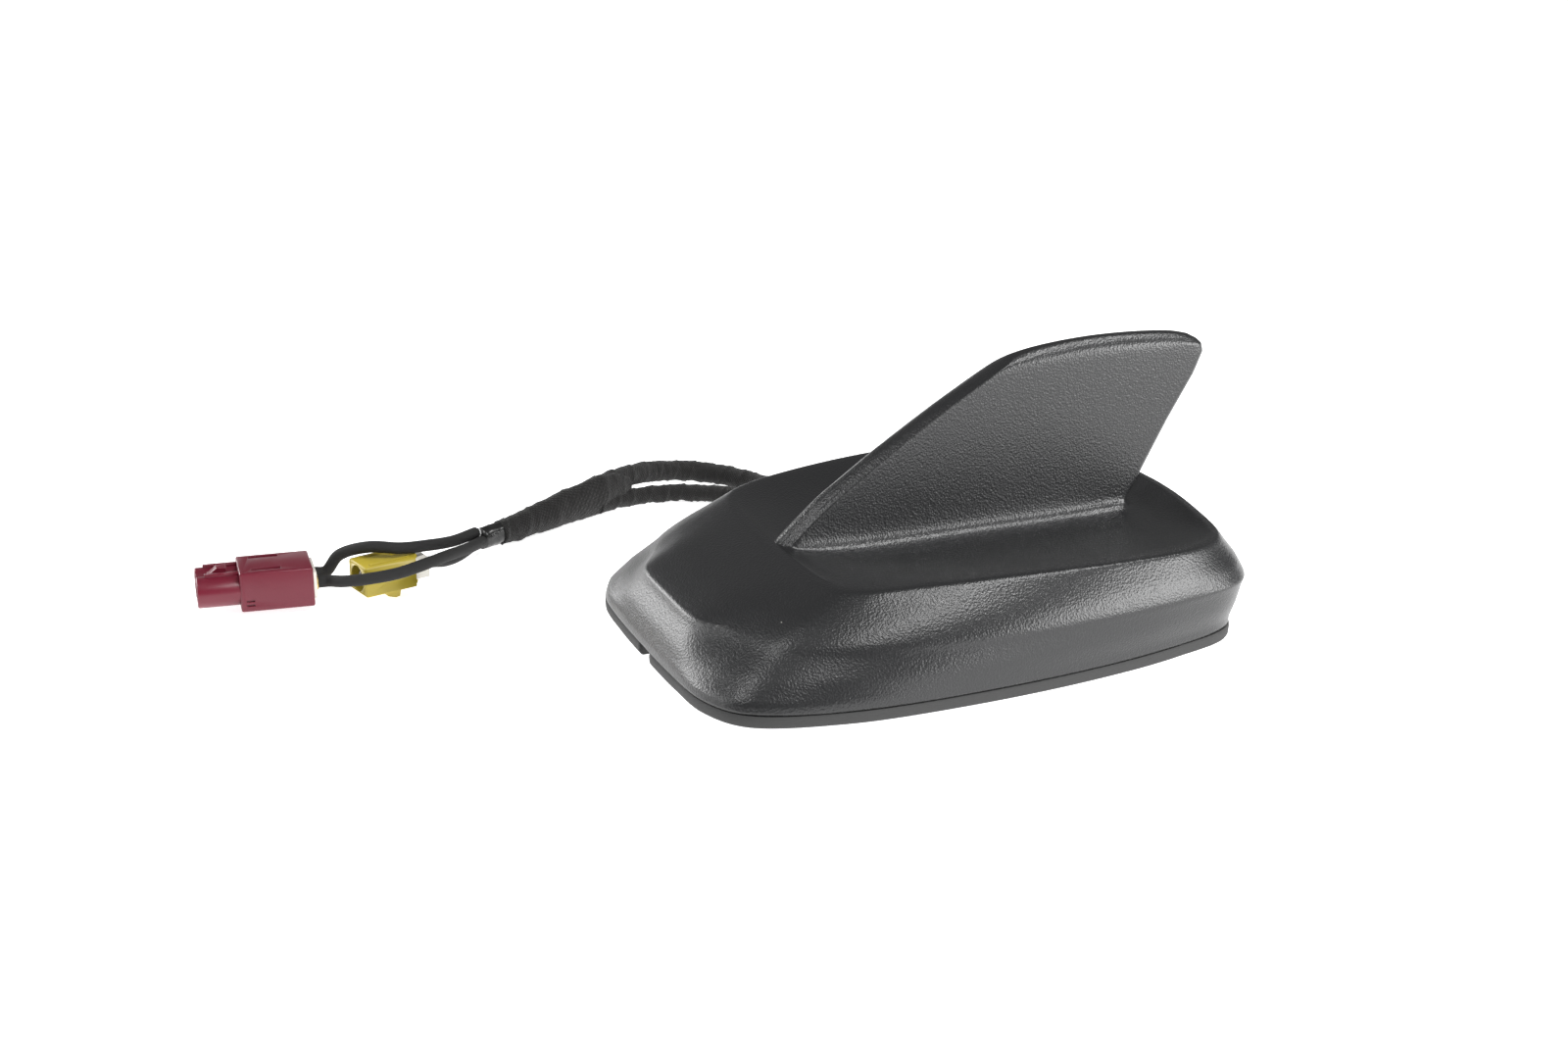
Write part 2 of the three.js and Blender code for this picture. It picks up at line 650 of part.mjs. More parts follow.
// ---------------------------------------------------------------- main board and its parts
const boardOutline = mix(inset(bottomRing, 11), inset(waistRing, 11), 0.5).map(([x, y]) => [
  Math.max(-52 * SX, Math.min(x, 56 * SX)),
  y * 0.8,
]);
const cleanOutline = boardOutline.filter((p, i) => {
  const q = boardOutline[(i + 1) % boardOutline.length];
  return Math.hypot(p[0] - q[0], p[1] - q[1]) > 0.6;
});
let board = slab(cleanOutline, boardZ, boardZ + BOARD_T);
board = cut(board, rod(insertR + 2.6, boardZ - 1, boardZ + 3, BOSS_X, 0, 24));
board = cut(
  board,
  roundedBox(bootNeck[0] + 2.4, bootNeck[1] + 2.4, boardZ - 1, boardZ + 3, BOOT_X, BOOT_Y, 2),
);
for (const [x, y] of STANDS) {
  board = cut(board, rod(BOARD_SCREW_D / 2 + 0.35, boardZ - 1, boardZ + 3, x, y, 12));
}
for (const [x, y] of POSTS) {
  board = cut(board, rod(3.8, boardZ - 1, boardZ + 3, x, y, 16));
}
put('main_board', geometryOf(board), 'board');

const boardTop = boardZ + BOARD_T;
for (const [i, [x, y]] of STANDS.entries()) {
  const screw = join(
    rod(BOARD_SCREW_D / 2 - 0.1, boardZ - 4.2, boardTop + GAP + 0.5, x, y, 12),
    rod(2.3, boardTop + GAP, boardTop + GAP + 1.5, x, y, 16, 1.9),
  );
  put(`board_screw_${i + 1}`, geometryOf(screw), 'dark');
}
for (const [i, [x, y]] of POSTS.entries()) {
  const headLow = plateLow + 0.2;
  const screw = join(
    rod(2.7, headLow, headLow + 1.4, x, y, 16),
    rod(SCREW_D / 2 - 0.1, headLow + 1, postFoot + 7.8, x, y, 12),
  );
  put(`radome_screw_${i + 1}`, geometryOf(screw), 'dark');
}

// Ceramic patches with feed pins; the satellite radio one sits ahead of the fin board.
const PATCH_A = 25;
const PATCH_B = 18;
const patchZ = boardTop + GAP;
const patchAX = -28 * SX;
const patchAY = 0;
const patchBX = 28 * SX;
const patchBY = -22 * SY;
const PATCH_H = 4;
const pinHole = 0.9;
for (const [name, side, x, y] of [
  ['satellite_patch', PATCH_A, patchAX, patchAY],
  ['navigation_patch', PATCH_B, patchBX, patchBY],
]) {
  const tile = roundedBox(side, side, patchZ, patchZ + PATCH_H, x, y, 1);
  const pinX = x + 1.6;
  put(name, geometryOf(cut(tile, rod(pinHole, patchZ - 1, patchZ + PATCH_H + 1, pinX, y, 12))), 'ceramic');
  const pin = join(
    rod(0.5, patchZ + 0.05, patchZ + PATCH_H + GAP + 0.2, pinX, y, 12),
    rod(1.1, patchZ + PATCH_H + GAP, patchZ + PATCH_H + GAP + 0.4, pinX, y, 12),
  );
  put(name.replace('patch', 'feed_pin'), geometryOf(pin), 'brass');
}

// Shield cans, open underneath.
for (const [name, lx, ly, x, y] of [
  ['shield_can_radio', 26 * SX, 16 * SY, 27 * SX, 20 * SY],
  ['shield_can_phone', 20 * SX, 14 * SY, -14 * SX, -24 * SY],
]) {
  const can = cut(
    roundedBox(lx, ly, patchZ, patchZ + 3, x, y, 1.2),
    roundedBox(lx - 0.8, ly - 0.8, patchZ - 1, patchZ + 2.6, x, y, 0.8),
  );
  put(name, geometryOf(can), 'tin');
}

// ---------------------------------------------------------------- fin board and its springs
const finBoardT = 1;
const finFootZ = boardTop + 2.4;
const innerAt = (u, s) => finPoint(u, s);
const finBoardLine = [
  [20 * SX, finFootZ], [50 * SX, finFootZ], [50 * SX, DECK_Z],
  [innerAt(0.86, 0.5)[0], innerAt(0.86, 0.5)[1]],
  [innerAt(0.84, 0.78)[0], innerAt(0.84, 0.78)[1]],
  [innerAt(0.24, 0.78)[0], innerAt(0.24, 0.78)[1]],
  [innerAt(0.3, 0.4)[0], innerAt(0.3, 0.4)[1]],
  [20 * SX, DECK_Z - 4],
];
const finBoard = slab(finBoardLine, -finBoardT / 2, finBoardT / 2).rotate([90, 0, 0]);
put('fin_board', geometryOf(finBoard), 'board');
for (const [i, x] of [26 * SX, 44 * SX].entries()) {
  const foot = box(4, 2.4, 0.5, x, 1.2, patchZ + 0.25);
  const stem = box(2.4, 0.5, 3.8, x, 0.5 + GAP + 0.25, patchZ + 1.9);
  put(`contact_spring_${i + 1}`, geometryOf(join(foot, stem)), 'brass');
}

// Second cellular element: folded sheet standing on the board near the nose.
const sheet = join(
  box(0.6, 30, 6.4, -45.5 * SX, 0, patchZ + 3.2),
  box(5, 30, 0.6, -43.3 * SX, 0, patchZ + 6.1),
);
put('second_element', geometryOf(sheet), 'tin');

// ---------------------------------------------------------------- cable boot under the plate
const bootTopZ = flangeTop + 1.2;
const bootFace = BOOT_Y + 7;
const bootBody = join(
  roundedBox(19, 14, 2.2, plateLow - GAP, BOOT_X, BOOT_Y, 2.5),
  roundedBox(bootNeck[0], bootNeck[1], plateLow - 0.5, bootTopZ, BOOT_X, BOOT_Y, 1.8),
);
put('cable_boot', geometryOf(bootBody), 'rubber');

// ---------------------------------------------------------------- taped branches and trunk
const A_D = 6.3;
const B_D = 5.2;
const startY = bootFace + GAP;
put(
  'tape_branch_a',
  sweep(
    [
      [BOOT_X + 4.4, startY, 5.4, A_D, A_D], [BOOT_X + 5, startY + 12, 4.6, A_D, A_D],
      [15, 68, 3.5, A_D, A_D], [17, 96, 3.3, A_D, A_D], [14.5, 122, 3.3, A_D, A_D],
      [8.8, 139.3, 3.3, A_D, A_D], [0.6, 149.6, 4, A_D, A_D], [-9, 154, 5.2, A_D, A_D],
      [-20, 153.6, 6.8, A_D, A_D], [-33.6, 146.6, 8.7, A_D, A_D], [-37.3, 145.1, 8.95, A_D, A_D],
    ],
    56,
    10,
  ),
  'tape',
);
put(
  'tape_branch_b',
  sweep(
    [
      [BOOT_X - 4.6, startY, 5, B_D, B_D], [BOOT_X - 5, startY + 12, 3.8, B_D, B_D],
      [3, 66, 2.8, B_D, B_D], [5.5, 94, 2.7, B_D, B_D], [3.4, 120, 2.7, B_D, B_D],
      [-2.4, 134.6, 2.7, B_D, B_D], [-10.5, 140.2, 2.7, B_D, B_D], [-19, 143.4, 2.7, B_D, B_D],
      [-32.4, 143.6, 2.75, B_D, B_D], [-36.15, 142.2, 2.8, B_D, B_D],
    ],
    52,
    10,
  ),
  'tape',
);
const TRUNK_END = [-77.5, 126.6, 3.9];
put(
  'tape_trunk',
  sweep(
    [
      [-37, 143.4, 6.05, 7, 11.9], [-40.8, 141.9, 6.05, 7.1, 11.8], [-55.5, 136, 5.2, 7.6, 10.2],
      [-65.5, 131.8, 4.5, 7.6, 8.8], [-73, 128.4, 4, 7.2, 7.8], [...TRUNK_END, 7, 7.2],
    ],
    24,
    12,
  ),
  'tape',
);
const sleeveStep = 6.2;
const trunkDir = new THREE.Vector2(-0.93, -0.37).normalize();
const SLEEVE_END = [
  TRUNK_END[0] + trunkDir.x * (sleeveStep + GAP),
  TRUNK_END[1] + trunkDir.y * (sleeveStep + GAP),
  3.9,
];
put(
  'bundle_sleeve',
  sweep(
    [
      [TRUNK_END[0] + trunkDir.x * GAP, TRUNK_END[1] + trunkDir.y * GAP, 3.9, 7, 7.2],
      [...SLEEVE_END, 7, 7.2],
    ],
    3,
    12,
  ),
  'shrink',
);

// ---------------------------------------------------------------- plugs
// Each plug is built at the origin with its mating end on -X, then set down on the ground.
function place(solid, at) {
  return solid
    .rotate([at.roll, 0, 0])
    .rotate([0, 0, at.yaw])
    .translate([at.x, at.y, at.z]);
}

function spot(at, local) {
  const r = THREE.MathUtils.degToRad(at.roll);
  const w = THREE.MathUtils.degToRad(at.yaw);
  const y = local[1] * Math.cos(r) - local[2] * Math.sin(r);
  const z = local[1] * Math.sin(r) + local[2] * Math.cos(r);
  return [
    at.x + local[0] * Math.cos(w) - y * Math.sin(w),
    at.y + local[0] * Math.sin(w) + y * Math.cos(w),
    at.z + z,
  ];
}

const DOUBLE = { x: -146.9, y: 107.2, z: 6.35, yaw: -7.5, roll: -5 };
const SINGLE = { x: -117.4, y: 101.2, z: 6.9, yaw: 13.3, roll: 0 };
const BODY_L = 19.8;
const BODY_H = 10.9;
const DOUBLE_W = PORT_PITCH + 9;
const BARREL_L = 11.4;
const bodyFront = -BODY_L / 2;
const barrelTip = bodyFront - BARREL_L;

function bevelledBody(lx, ly, lz, corner) {
  const y = ly / 2;
  const z = lz / 2;
  const c = corner;
  const profile = [
    [-y + c, -z], [y - c, -z], [y, -z + c], [y, z - c],
    [y - c, z], [-y + c, z], [-y, z - c], [-y, -z + c],
  ];
  return slab(profile, -lx / 2, lx / 2).rotate([90, 0, 90]);
}

let twin = bevelledBody(BODY_L, DOUBLE_W, BODY_H, 0.7);
for (const side of [-1, 1]) {
  const y = (side * PORT_PITCH) / 2;
  twin = join(twin, rodX(PORT_D / 2, barrelTip + 0.5, bodyFront + 1, y, 0, 28));
  twin = join(twin, rodX(PORT_D / 2 - 0.45, barrelTip, barrelTip + 0.51, y, 0, 28, PORT_D / 2));
  // Keying rib on the barrel's shoulder.
  twin = join(twin, box(BARREL_L - 2.2, 1.3, 1.6, bodyFront - BARREL_L / 2 + 1.2, y, PORT_D / 2));
}
// Web between the barrels with the lock ramp on its crest.
twin = join(twin, box(BARREL_L - 3, PORT_PITCH - PORT_D + 2.4, 3, bodyFront - BARREL_L / 2 + 1.6, 0, 0));
const ramp = slab(
  [[-3.4, 0], [0, 2.5], [2.6, 2.5], [2.6, 0]],
  -1.7,
  1.7,
).rotate([90, 0, 0]);
twin = join(
  twin,
  ramp.translate([bodyFront - 5.6, 0, PORT_D / 2 - 1.2]),
  box(7.6, 3.2, 3.4, bodyFront - 4, 0, PORT_D / 2 - 2.6),
);
// Lock windows in the top face and key marks on the flank.
for (const side of [-1, 1]) {
  twin = cut(twin, box(8, 2, 4.6, bodyFront + 7.4, side * 6.2 + 0.5, BODY_H / 2));
}
for (const z of [-BODY_H / 2 + 1.8, -BODY_H / 2 + 3]) {
  twin = cut(twin, box(2.2, 1, 0.5, bodyFront + 2.6, -DOUBLE_W / 2, z));
}
// Bores for the contacts, stepped for the lock at the back.
const LOCK_L = 5;
const CONTACT_D = 5.4;
for (const side of [-1, 1]) {
  const y = (side * PORT_PITCH) / 2;
  twin = cut(twin, rodX(CONTACT_D / 2 + GAP, barrelTip - 1, BODY_L / 2 + 1, y, 0, 24));
}
twin = cut(twin, box(LOCK_L * 2, DOUBLE_W - 2.4, BODY_H - 2.8, BODY_L / 2, 0, 0));
put('double_housing', geometryOf(place(twin, DOUBLE)), 'violet');

let twinLock = box(LOCK_L - GAP + 0.9, DOUBLE_W - 3, BODY_H - 3.4, BODY_L / 2 - LOCK_L / 2 + GAP / 2 + 0.45, 0, 0);
const lockBack = BODY_L / 2 + 0.9;
for (const side of [-1, 1]) {
  const y = (side * PORT_PITCH) / 2;
  twinLock = cut(twinLock, rodX(COAX_D / 2 + 0.7, 0, lockBack + 1, y, 0, 20));
}
put('double_lock', geometryOf(place(twinLock, DOUBLE)), 'white');

function contactShell(x0, x1, y) {
  return cut(
    join(
      rodX(CONTACT_D / 2 - 0.4, x0, x1, y, 0, 20),
      rodX(CONTACT_D / 2, x0 + 6.4, x0 + 8, y, 0, 20),
    ),
    rodX(CONTACT_D / 2 - 1, x0 - 1, x0 + 7, y, 0, 20),
  );
}
const contactBack = BODY_L / 2 - LOCK_L - GAP;
const contactFront = barrelTip + 1.2;
for (const [i, side] of [-1, 1].entries()) {
  const y = (side * PORT_PITCH) / 2;
  const name = i === 0 ? 'near' : 'far';
  put(`contact_${name}`, geometryOf(place(contactShell(contactFront, contactBack, y), DOUBLE)), 'tin');
  const pin = rodX(0.5, contactFront + 0.8, contactFront + 6.6, y, 0, 12);
  put(`centre_pin_${name}`, geometryOf(place(pin, DOUBLE)), 'brass');
  const ferrule = cut(
    rodX(COAX_D / 2 + 0.45, contactBack + GAP, lockBack + 0.4, y, 0, 20),
    rodX(COAX_D / 2 + 0.12, contactBack, lockBack + 1, y, 0, 20),
  );
  put(`ferrule_${name}`, geometryOf(place(ferrule, DOUBLE)), 'brass');
}

const SINGLE_L = 17.2;
const SINGLE_W = 10.4;
const SINGLE_H = 8.8;
let hood = bevelledBody(SINGLE_L, SINGLE_W, SINGLE_H, 0.8);
const latch = slab(
  [[-2.2, 0], [-1.4, -1.6], [0.9, -2.4], [2.2, -2.2], [2.6, 0]],
  -SINGLE_W / 2 + 1.4,
  SINGLE_W / 2 - 1.4,
).rotate([90, 0, 0]);
hood = join(hood, latch.translate([0, 0, -SINGLE_H / 2 + 0.2]));
hood = cut(hood, rodX(3.7, -SINGLE_L / 2 - 1, -SINGLE_L / 2 + 8.6, 0, 0, 28));
hood = cut(hood, rodX(2.2, 0, SINGLE_L / 2 + 1, 0, 0, 20));
hood = cut(hood, box(LOCK_L * 2, SINGLE_W - 2.4, SINGLE_H - 2.4, SINGLE_L / 2, 0, 0));
hood = cut(hood, rod(3, -SINGLE_H / 2 - 3, SINGLE_H / 2 + 3, SINGLE_L / 2 + 1.2, -SINGLE_W / 2, 20));
hood = cut(hood, box(3, 2.4, 2, 3.4, 1.2, SINGLE_H / 2));
hood = cut(hood, box(2, 1, 0.5, 2.2, -SINGLE_W / 2, 0.6));
put('single_housing', geometryOf(place(hood, SINGLE)), 'yellow');

const singleBack = SINGLE_L / 2 + 3.2;
const singleLock = cut(
  box(LOCK_L + 3.2 - GAP, SINGLE_W - 3, SINGLE_H - 3, SINGLE_L / 2 - LOCK_L + GAP + (LOCK_L + 3.2 - GAP) / 2, 0, 0),
  rodX(COAX_D / 2 + 0.7, -2, singleBack + 1, 0, 0, 20),
  rod(3.3, -SINGLE_H, SINGLE_H, SINGLE_L / 2 + 1.2 - 4.4, -SINGLE_W / 2 - 1.2, 20),
);
put('single_lock', geometryOf(place(singleLock, SINGLE)), 'white');
const singleContactBack = SINGLE_L / 2 - LOCK_L - GAP;
const singleContact = join(
  rodX(1.85, -SINGLE_L / 2 + 1.4, singleContactBack, 0, 0, 20),
);
put(
  'contact_single',
  geometryOf(place(cut(singleContact, rodX(1.3, -SINGLE_L / 2 - 1, -SINGLE_L / 2 + 6, 0, 0, 16)), SINGLE)),
  'tin',
);
put(
  'centre_pin_single',
  geometryOf(place(rodX(0.45, -SINGLE_L / 2 + 2, -SINGLE_L / 2 + 5.6, 0, 0, 12), SINGLE)),
  'brass',
);
const singleFerrule = cut(
  rodX(COAX_D / 2 + 0.45, singleContactBack + GAP, singleBack + 0.4, 0, 0, 20),
  rodX(COAX_D / 2 + 0.12, singleContactBack, singleBack + 1, 0, 0, 20),
);
put('ferrule_single', geometryOf(place(singleFerrule, SINGLE)), 'brass');

// ---------------------------------------------------------------- coax beyond the sleeve
// Three jackets leave the sleeve side by side; each ends inside its ferrule.
const across = new THREE.Vector2(-trunkDir.y, trunkDir.x);
function leave(dy, dz) {
  const x = SLEEVE_END[0] + trunkDir.x * (GAP + 0.7);
  const y = SLEEVE_END[1] + trunkDir.y * (GAP + 0.7);
  return [x + across.x * dy, y + across.y * dy, SLEEVE_END[2] + dz];
}
const coax = (points) => points.map((p) => [...p, COAX_D, COAX_D]);
const thick = COAX_D / 3.3; // spreads the runs where they leave the sleeve
const extra = COAX_D - 3.3; // and lifts them over each other
const farEnd = spot(DOUBLE, [contactBack + 2 * GAP, PORT_PITCH / 2, 0]);
const farOut = spot(DOUBLE, [lockBack + 3.4, PORT_PITCH / 2, 0]);
put(
  'coax_far',
  sweep(
    coax([
      farEnd, spot(DOUBLE, [lockBack, PORT_PITCH / 2, 0]), farOut, [-128.6, 108.7, 10.7 + extra],
      [-121.4, 102.9, 14.2 + extra], [-113.4, 99.8, 13.8 + extra], [-104.8, 104.2, 11.8 + 1.6 * extra],
      [-94.2, 115.2, 7.8 + 2 * extra], leave(-1.5 * thick, 1.6 * thick + extra),
    ]),
    48,
    8,
  ),
  'jacket',
);
const nearEnd = spot(DOUBLE, [contactBack + 2 * GAP, -PORT_PITCH / 2, 0]);
put(
  'coax_near',
  sweep(
    coax([
      nearEnd, spot(DOUBLE, [lockBack, -PORT_PITCH / 2, 0]), spot(DOUBLE, [lockBack + 3.4, -PORT_PITCH / 2, 0]),
      [-130.6, 95.2 - extra, 8.2], [-124.2, 91.7 - extra, 9.3], [-116, 91.8 - extra, 9.7],
      [-106.4, 95.2 - extra, 10.2], [-99.9, 100.9 - 1.2 * extra, 9.2], [-91.2, 111.6 - 1.4 * extra, 6.3],
      leave(1.7 * thick + 0.6 * extra, -0.2),
    ]),
    48,
    8,
  ),
  'jacket',
);
const singleEnd = spot(SINGLE, [singleContactBack + 2 * GAP, 0, 0]);
put(
  'coax_single',
  sweep(
    coax([
      singleEnd, spot(SINGLE, [singleBack, 0, 0]), spot(SINGLE, [singleBack + 3, 0, -0.3]),
      [-98.6, 109 + 0.8 * extra, 4.6], [-92.7, 116.2 + 0.8 * extra, 2.7], leave(-1.7 * thick, -1.9 + 0.3 * extra),
    ]),
    36,
    8,
  ),
  'jacket',
);

export default group;
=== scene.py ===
"""Looks of a shark-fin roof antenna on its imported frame: radome, seal, base, taped pigtails and plugs."""

import json
import logging
import math
from collections.abc import Callable, Sequence
from dataclasses import dataclass, field
from enum import Enum

import bmesh
import bpy
from mathutils import Matrix, Vector, noise

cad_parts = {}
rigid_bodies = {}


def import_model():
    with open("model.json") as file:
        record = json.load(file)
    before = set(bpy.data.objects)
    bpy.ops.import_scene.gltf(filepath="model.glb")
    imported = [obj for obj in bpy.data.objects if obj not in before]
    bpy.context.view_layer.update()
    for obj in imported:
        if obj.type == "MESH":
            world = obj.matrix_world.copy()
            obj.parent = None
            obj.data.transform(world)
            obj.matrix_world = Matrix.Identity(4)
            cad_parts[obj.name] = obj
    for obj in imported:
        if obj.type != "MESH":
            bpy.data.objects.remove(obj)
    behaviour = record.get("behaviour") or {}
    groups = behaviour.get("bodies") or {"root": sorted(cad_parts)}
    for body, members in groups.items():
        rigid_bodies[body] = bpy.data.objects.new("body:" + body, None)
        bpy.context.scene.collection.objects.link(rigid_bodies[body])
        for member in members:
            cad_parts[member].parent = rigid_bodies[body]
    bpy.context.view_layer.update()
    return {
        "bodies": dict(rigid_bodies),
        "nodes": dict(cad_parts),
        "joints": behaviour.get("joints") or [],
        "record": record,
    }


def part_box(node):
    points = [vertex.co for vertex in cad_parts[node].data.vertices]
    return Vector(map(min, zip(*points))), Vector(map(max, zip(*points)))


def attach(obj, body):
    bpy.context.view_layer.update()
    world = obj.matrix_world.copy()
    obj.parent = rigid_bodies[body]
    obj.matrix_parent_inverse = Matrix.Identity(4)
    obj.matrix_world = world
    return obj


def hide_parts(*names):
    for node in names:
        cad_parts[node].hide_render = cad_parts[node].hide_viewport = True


log = logging.getLogger("roof_antenna")

MM = 0.001
Loop = list[Vector]
Pair = tuple[float, float]
Triple = tuple[float, float, float]
Place = tuple[float, float, float, float, float]


# ---------------------------------------------------------------- curves and loops of points
@dataclass(frozen=True)
class Route:
    """A smooth line through way points, in millimetres.

    Args:
        points: The way points, in order.
        closed: True where the line comes back to its first point.
    """

    points: tuple[Vector, ...]
    closed: bool = False

    def _around(self, t: float) -> tuple[Vector, Vector, Vector, Vector, float]:
        """Finds the four way points about a place on the line.

        Args:
            t: Place along the line, 0 to 1.

        Returns:
            The four way points and the place between the middle two.
        """
        pts = self.points
        n = len(pts)
        if self.closed:
            p = n * t
            k = int(math.floor(p))
            return pts[(k - 1) % n], pts[k % n], pts[(k + 1) % n], pts[(k + 2) % n], p - k
        p = (n - 1) * t
        k = min(int(math.floor(p)), n - 2)
        before = pts[k - 1] if k > 0 else pts[0] * 2 - pts[1]
        after = pts[k + 2] if k + 2 < n else pts[n - 1] * 2 - pts[n - 2]
        return before, pts[k], pts[k + 1], after, p - k

    def at(self, t: float) -> Vector:
        """Gives the point at a place on the line.

        Args:
            t: Place along the line, 0 to 1.

        Returns:
            The point, in millimetres.
        """
        a, b, c, d, w = self._around(t)
        d1 = math.sqrt((c - b).length) or 1.0
        d0 = math.sqrt((b - a).length) or d1
        d2 = math.sqrt((d - c).length) or d1
        out = ((b - a) / d0 - (c - a) / (d0 + d1) + (c - b) / d1) * d1
        into = ((c - b) / d1 - (d - b) / (d1 + d2) + (d - c) / d2) * d1
        bend = (b - c) * 3 * -1 - out * 2 - into
        return b + out * w + bend * w * w + ((b - c) * 2 + out + into) * w**3

    def along(self, t: float) -> Vector:
        """Gives the direction of the line at a place on it."""
        h = 0.0005
        return (self.at(min(1.0, t + h)) - self.at(max(0.0, t - h))).normalized()

    def sampled(self, steps: int) -> Loop:
        """Gives evenly parted points down the line, ends included unless it is closed."""
        last = steps if self.closed else steps - 1
        return [self.at(i / last) for i in range(steps)]

    def length(self) -> float:
        """Gives the length of the line, in millimetres."""
        pts = self.sampled(400)
        return sum((b - a).length for a, b in zip(pts, pts[1:]))


def inset(ring: Loop, distance: float) -> Loop:
    """Moves each point of a closed loop inwards in plan.

    Args:
        ring: The loop, anticlockwise from above.
        distance: How far, in millimetres; a minus moves it outwards.

    Returns:
        The moved loop.
    """
    n = len(ring)
    moved = []
    for i, p in enumerate(ring):
        run = ring[(i + 1) % n] - ring[i - 1]
        run.z = 0
        run.normalize()
        moved.append(Vector((p.x - run.y * distance, p.y + run.x * distance, p.z)))
    return moved


def mix(a: Loop, b: Loop, t: float) -> Loop:
    """Gives the loop that lies a share of the way from one loop to another."""
    return [p.lerp(q, t) for p, q in zip(a, b)]


def lift(ring: Loop, height: float | Callable[[Vector], float]) -> Loop:
    """Sets the height of each point of a loop.

    Args:
        ring: The loop.
        height: One height, or a function that gives it for a point.

    Returns:
        The lifted loop.
    """
    rise = height if callable(height) else lambda _: height
    return [Vector((p.x, p.y, rise(p))) for p in ring]


def fade(x: float, low: float, high: float) -> float:
    """Rises smoothly from 0 at low to 1 at high; low may be the larger one."""
    t = min(1.0, max(0.0, (x - low) / (high - low)))
    return t * t * (3 - 2 * t)


# ---------------------------------------------------------------- mesh making
class Skin:
    """A mesh grown loop by loop, each loop extruded from the one before it."""

    def __init__(self, first: Loop) -> None:
        """Starts the skin.

        Args:
            first: The first loop of points, in millimetres.
        """
        self.bm = bmesh.new()
        self.station = self.bm.verts.layers.int.new("station")
        self.course = self.bm.verts.layers.int.new("course")
        self.crease = self.bm.edges.layers.float.new("crease_edge")
        made = bmesh.ops.create_circle(self.bm, segments=len(first), radius=1.0)["verts"]
        for i, (vert, p) in enumerate(zip(made, first)):
            vert[self.station] = i
            vert.co = p
        self.edges = list(self.bm.edges)
        self.start = list(self.edges)
        self.count = 0

    def grow(self, ring: Loop, crease: Callable[[int], float] | None = None) -> None:
        """Extrudes the last loop to a new one.

        Args:
            ring: The new loop, with as many points as the last.
            crease: Gives how sharp the loop stays at a station, 0 to 1.
        """
        self.count += 1
        made = bmesh.ops.extrude_edge_only(self.bm, edges=self.edges)["geom"]
        verts = [g for g in made if isinstance(g, bmesh.types.BMVert)]
        new = set(verts)
        for vert in verts:
            vert.co = ring[vert[self.station]]
            vert[self.course] = self.count
        self.edges = [
            g for g in made if isinstance(g, bmesh.types.BMEdge) and new.issuperset(g.verts)
        ]
        if crease:
            for edge in self.edges:
                edge[self.crease] = crease(min(v[self.station] for v in edge.verts))

    def cap(self, edges: Sequence[bmesh.types.BMEdge]) -> None:
        """Closes an open loop of edges with one face."""
        bmesh.ops.edgeloop_fill(self.bm, edges=list(edges))

    def wrap_map(self, around: float, along: float) -> None:
        """Lays a UV map that runs along and round the skin, in metres.

        Args:
            around: Girth of the skin, in millimetres.
            along: Length of the skin, in millimetres.
        """
        uv = self.bm.loops.layers.uv.new("wrap")
        stations = max(v[self.station] for v in self.bm.verts) + 1
        for face in self.bm.faces:
            rows = [loop.vert[self.station] for loop in face.loops]
            turn = max(rows) - min(rows) > stations / 2
            for loop, row in zip(face.loops, rows):
                s = row + stations if turn and row < stations / 2 else row
                u = loop.vert[self.course] / max(1, self.count) * along * MM
                loop[uv].uv = (u, s / stations * around * MM)


@dataclass(frozen=True)
class Seat:
    """Where a plug lies: its middle in millimetres, its turn and its roll in degrees."""

    x: float
    y: float
    z: float
    yaw: float
    roll: float

    def matrix(self) -> Matrix:
        """Gives the matrix from the plug's own axes to the frame, in millimetres."""
        turn = Matrix.Rotation(math.radians(self.yaw), 4, "Z")
        roll = Matrix.Rotation(math.radians(self.roll), 4, "X")
        return Matrix.Translation((self.x, self.y, self.z)) @ turn @ roll


def bevel_edges(
    bm: bmesh.types.BMesh, edges: Sequence[bmesh.types.BMEdge], width: float, segments: int
) -> None:
    """Rounds some edges of a mesh.

    Args:
        bm: The mesh.
        edges: The edges.
        width: Width of the rounding, in millimetres.
        segments: Steps in the rounding.
    """
    bmesh.ops.bevel(
        bm, geom=list(edges), offset=width, segments=segments, profile=0.5, affect="EDGES", material=-1
    )


def new_block(size: Triple, centre: Triple, bevel: float = 0.0, segments: int = 2) -> bmesh.types.BMesh:
    """Makes a block with rounded edges.

    Args:
        size: Length of each side, in millimetres.
        centre: Its middle.
        bevel: Width of its edge rounding.
        segments: Steps in the rounding.

    Returns:
        The new mesh.
    """
    bm = bmesh.new()
    bmesh.ops.create_cube(bm, size=1.0)
    bmesh.ops.scale(bm, vec=size, verts=bm.verts)
    bmesh.ops.translate(bm, vec=centre, verts=bm.verts)
    if bevel > 0:
        bevel_edges(bm, bm.edges, bevel, segments)
    return bm


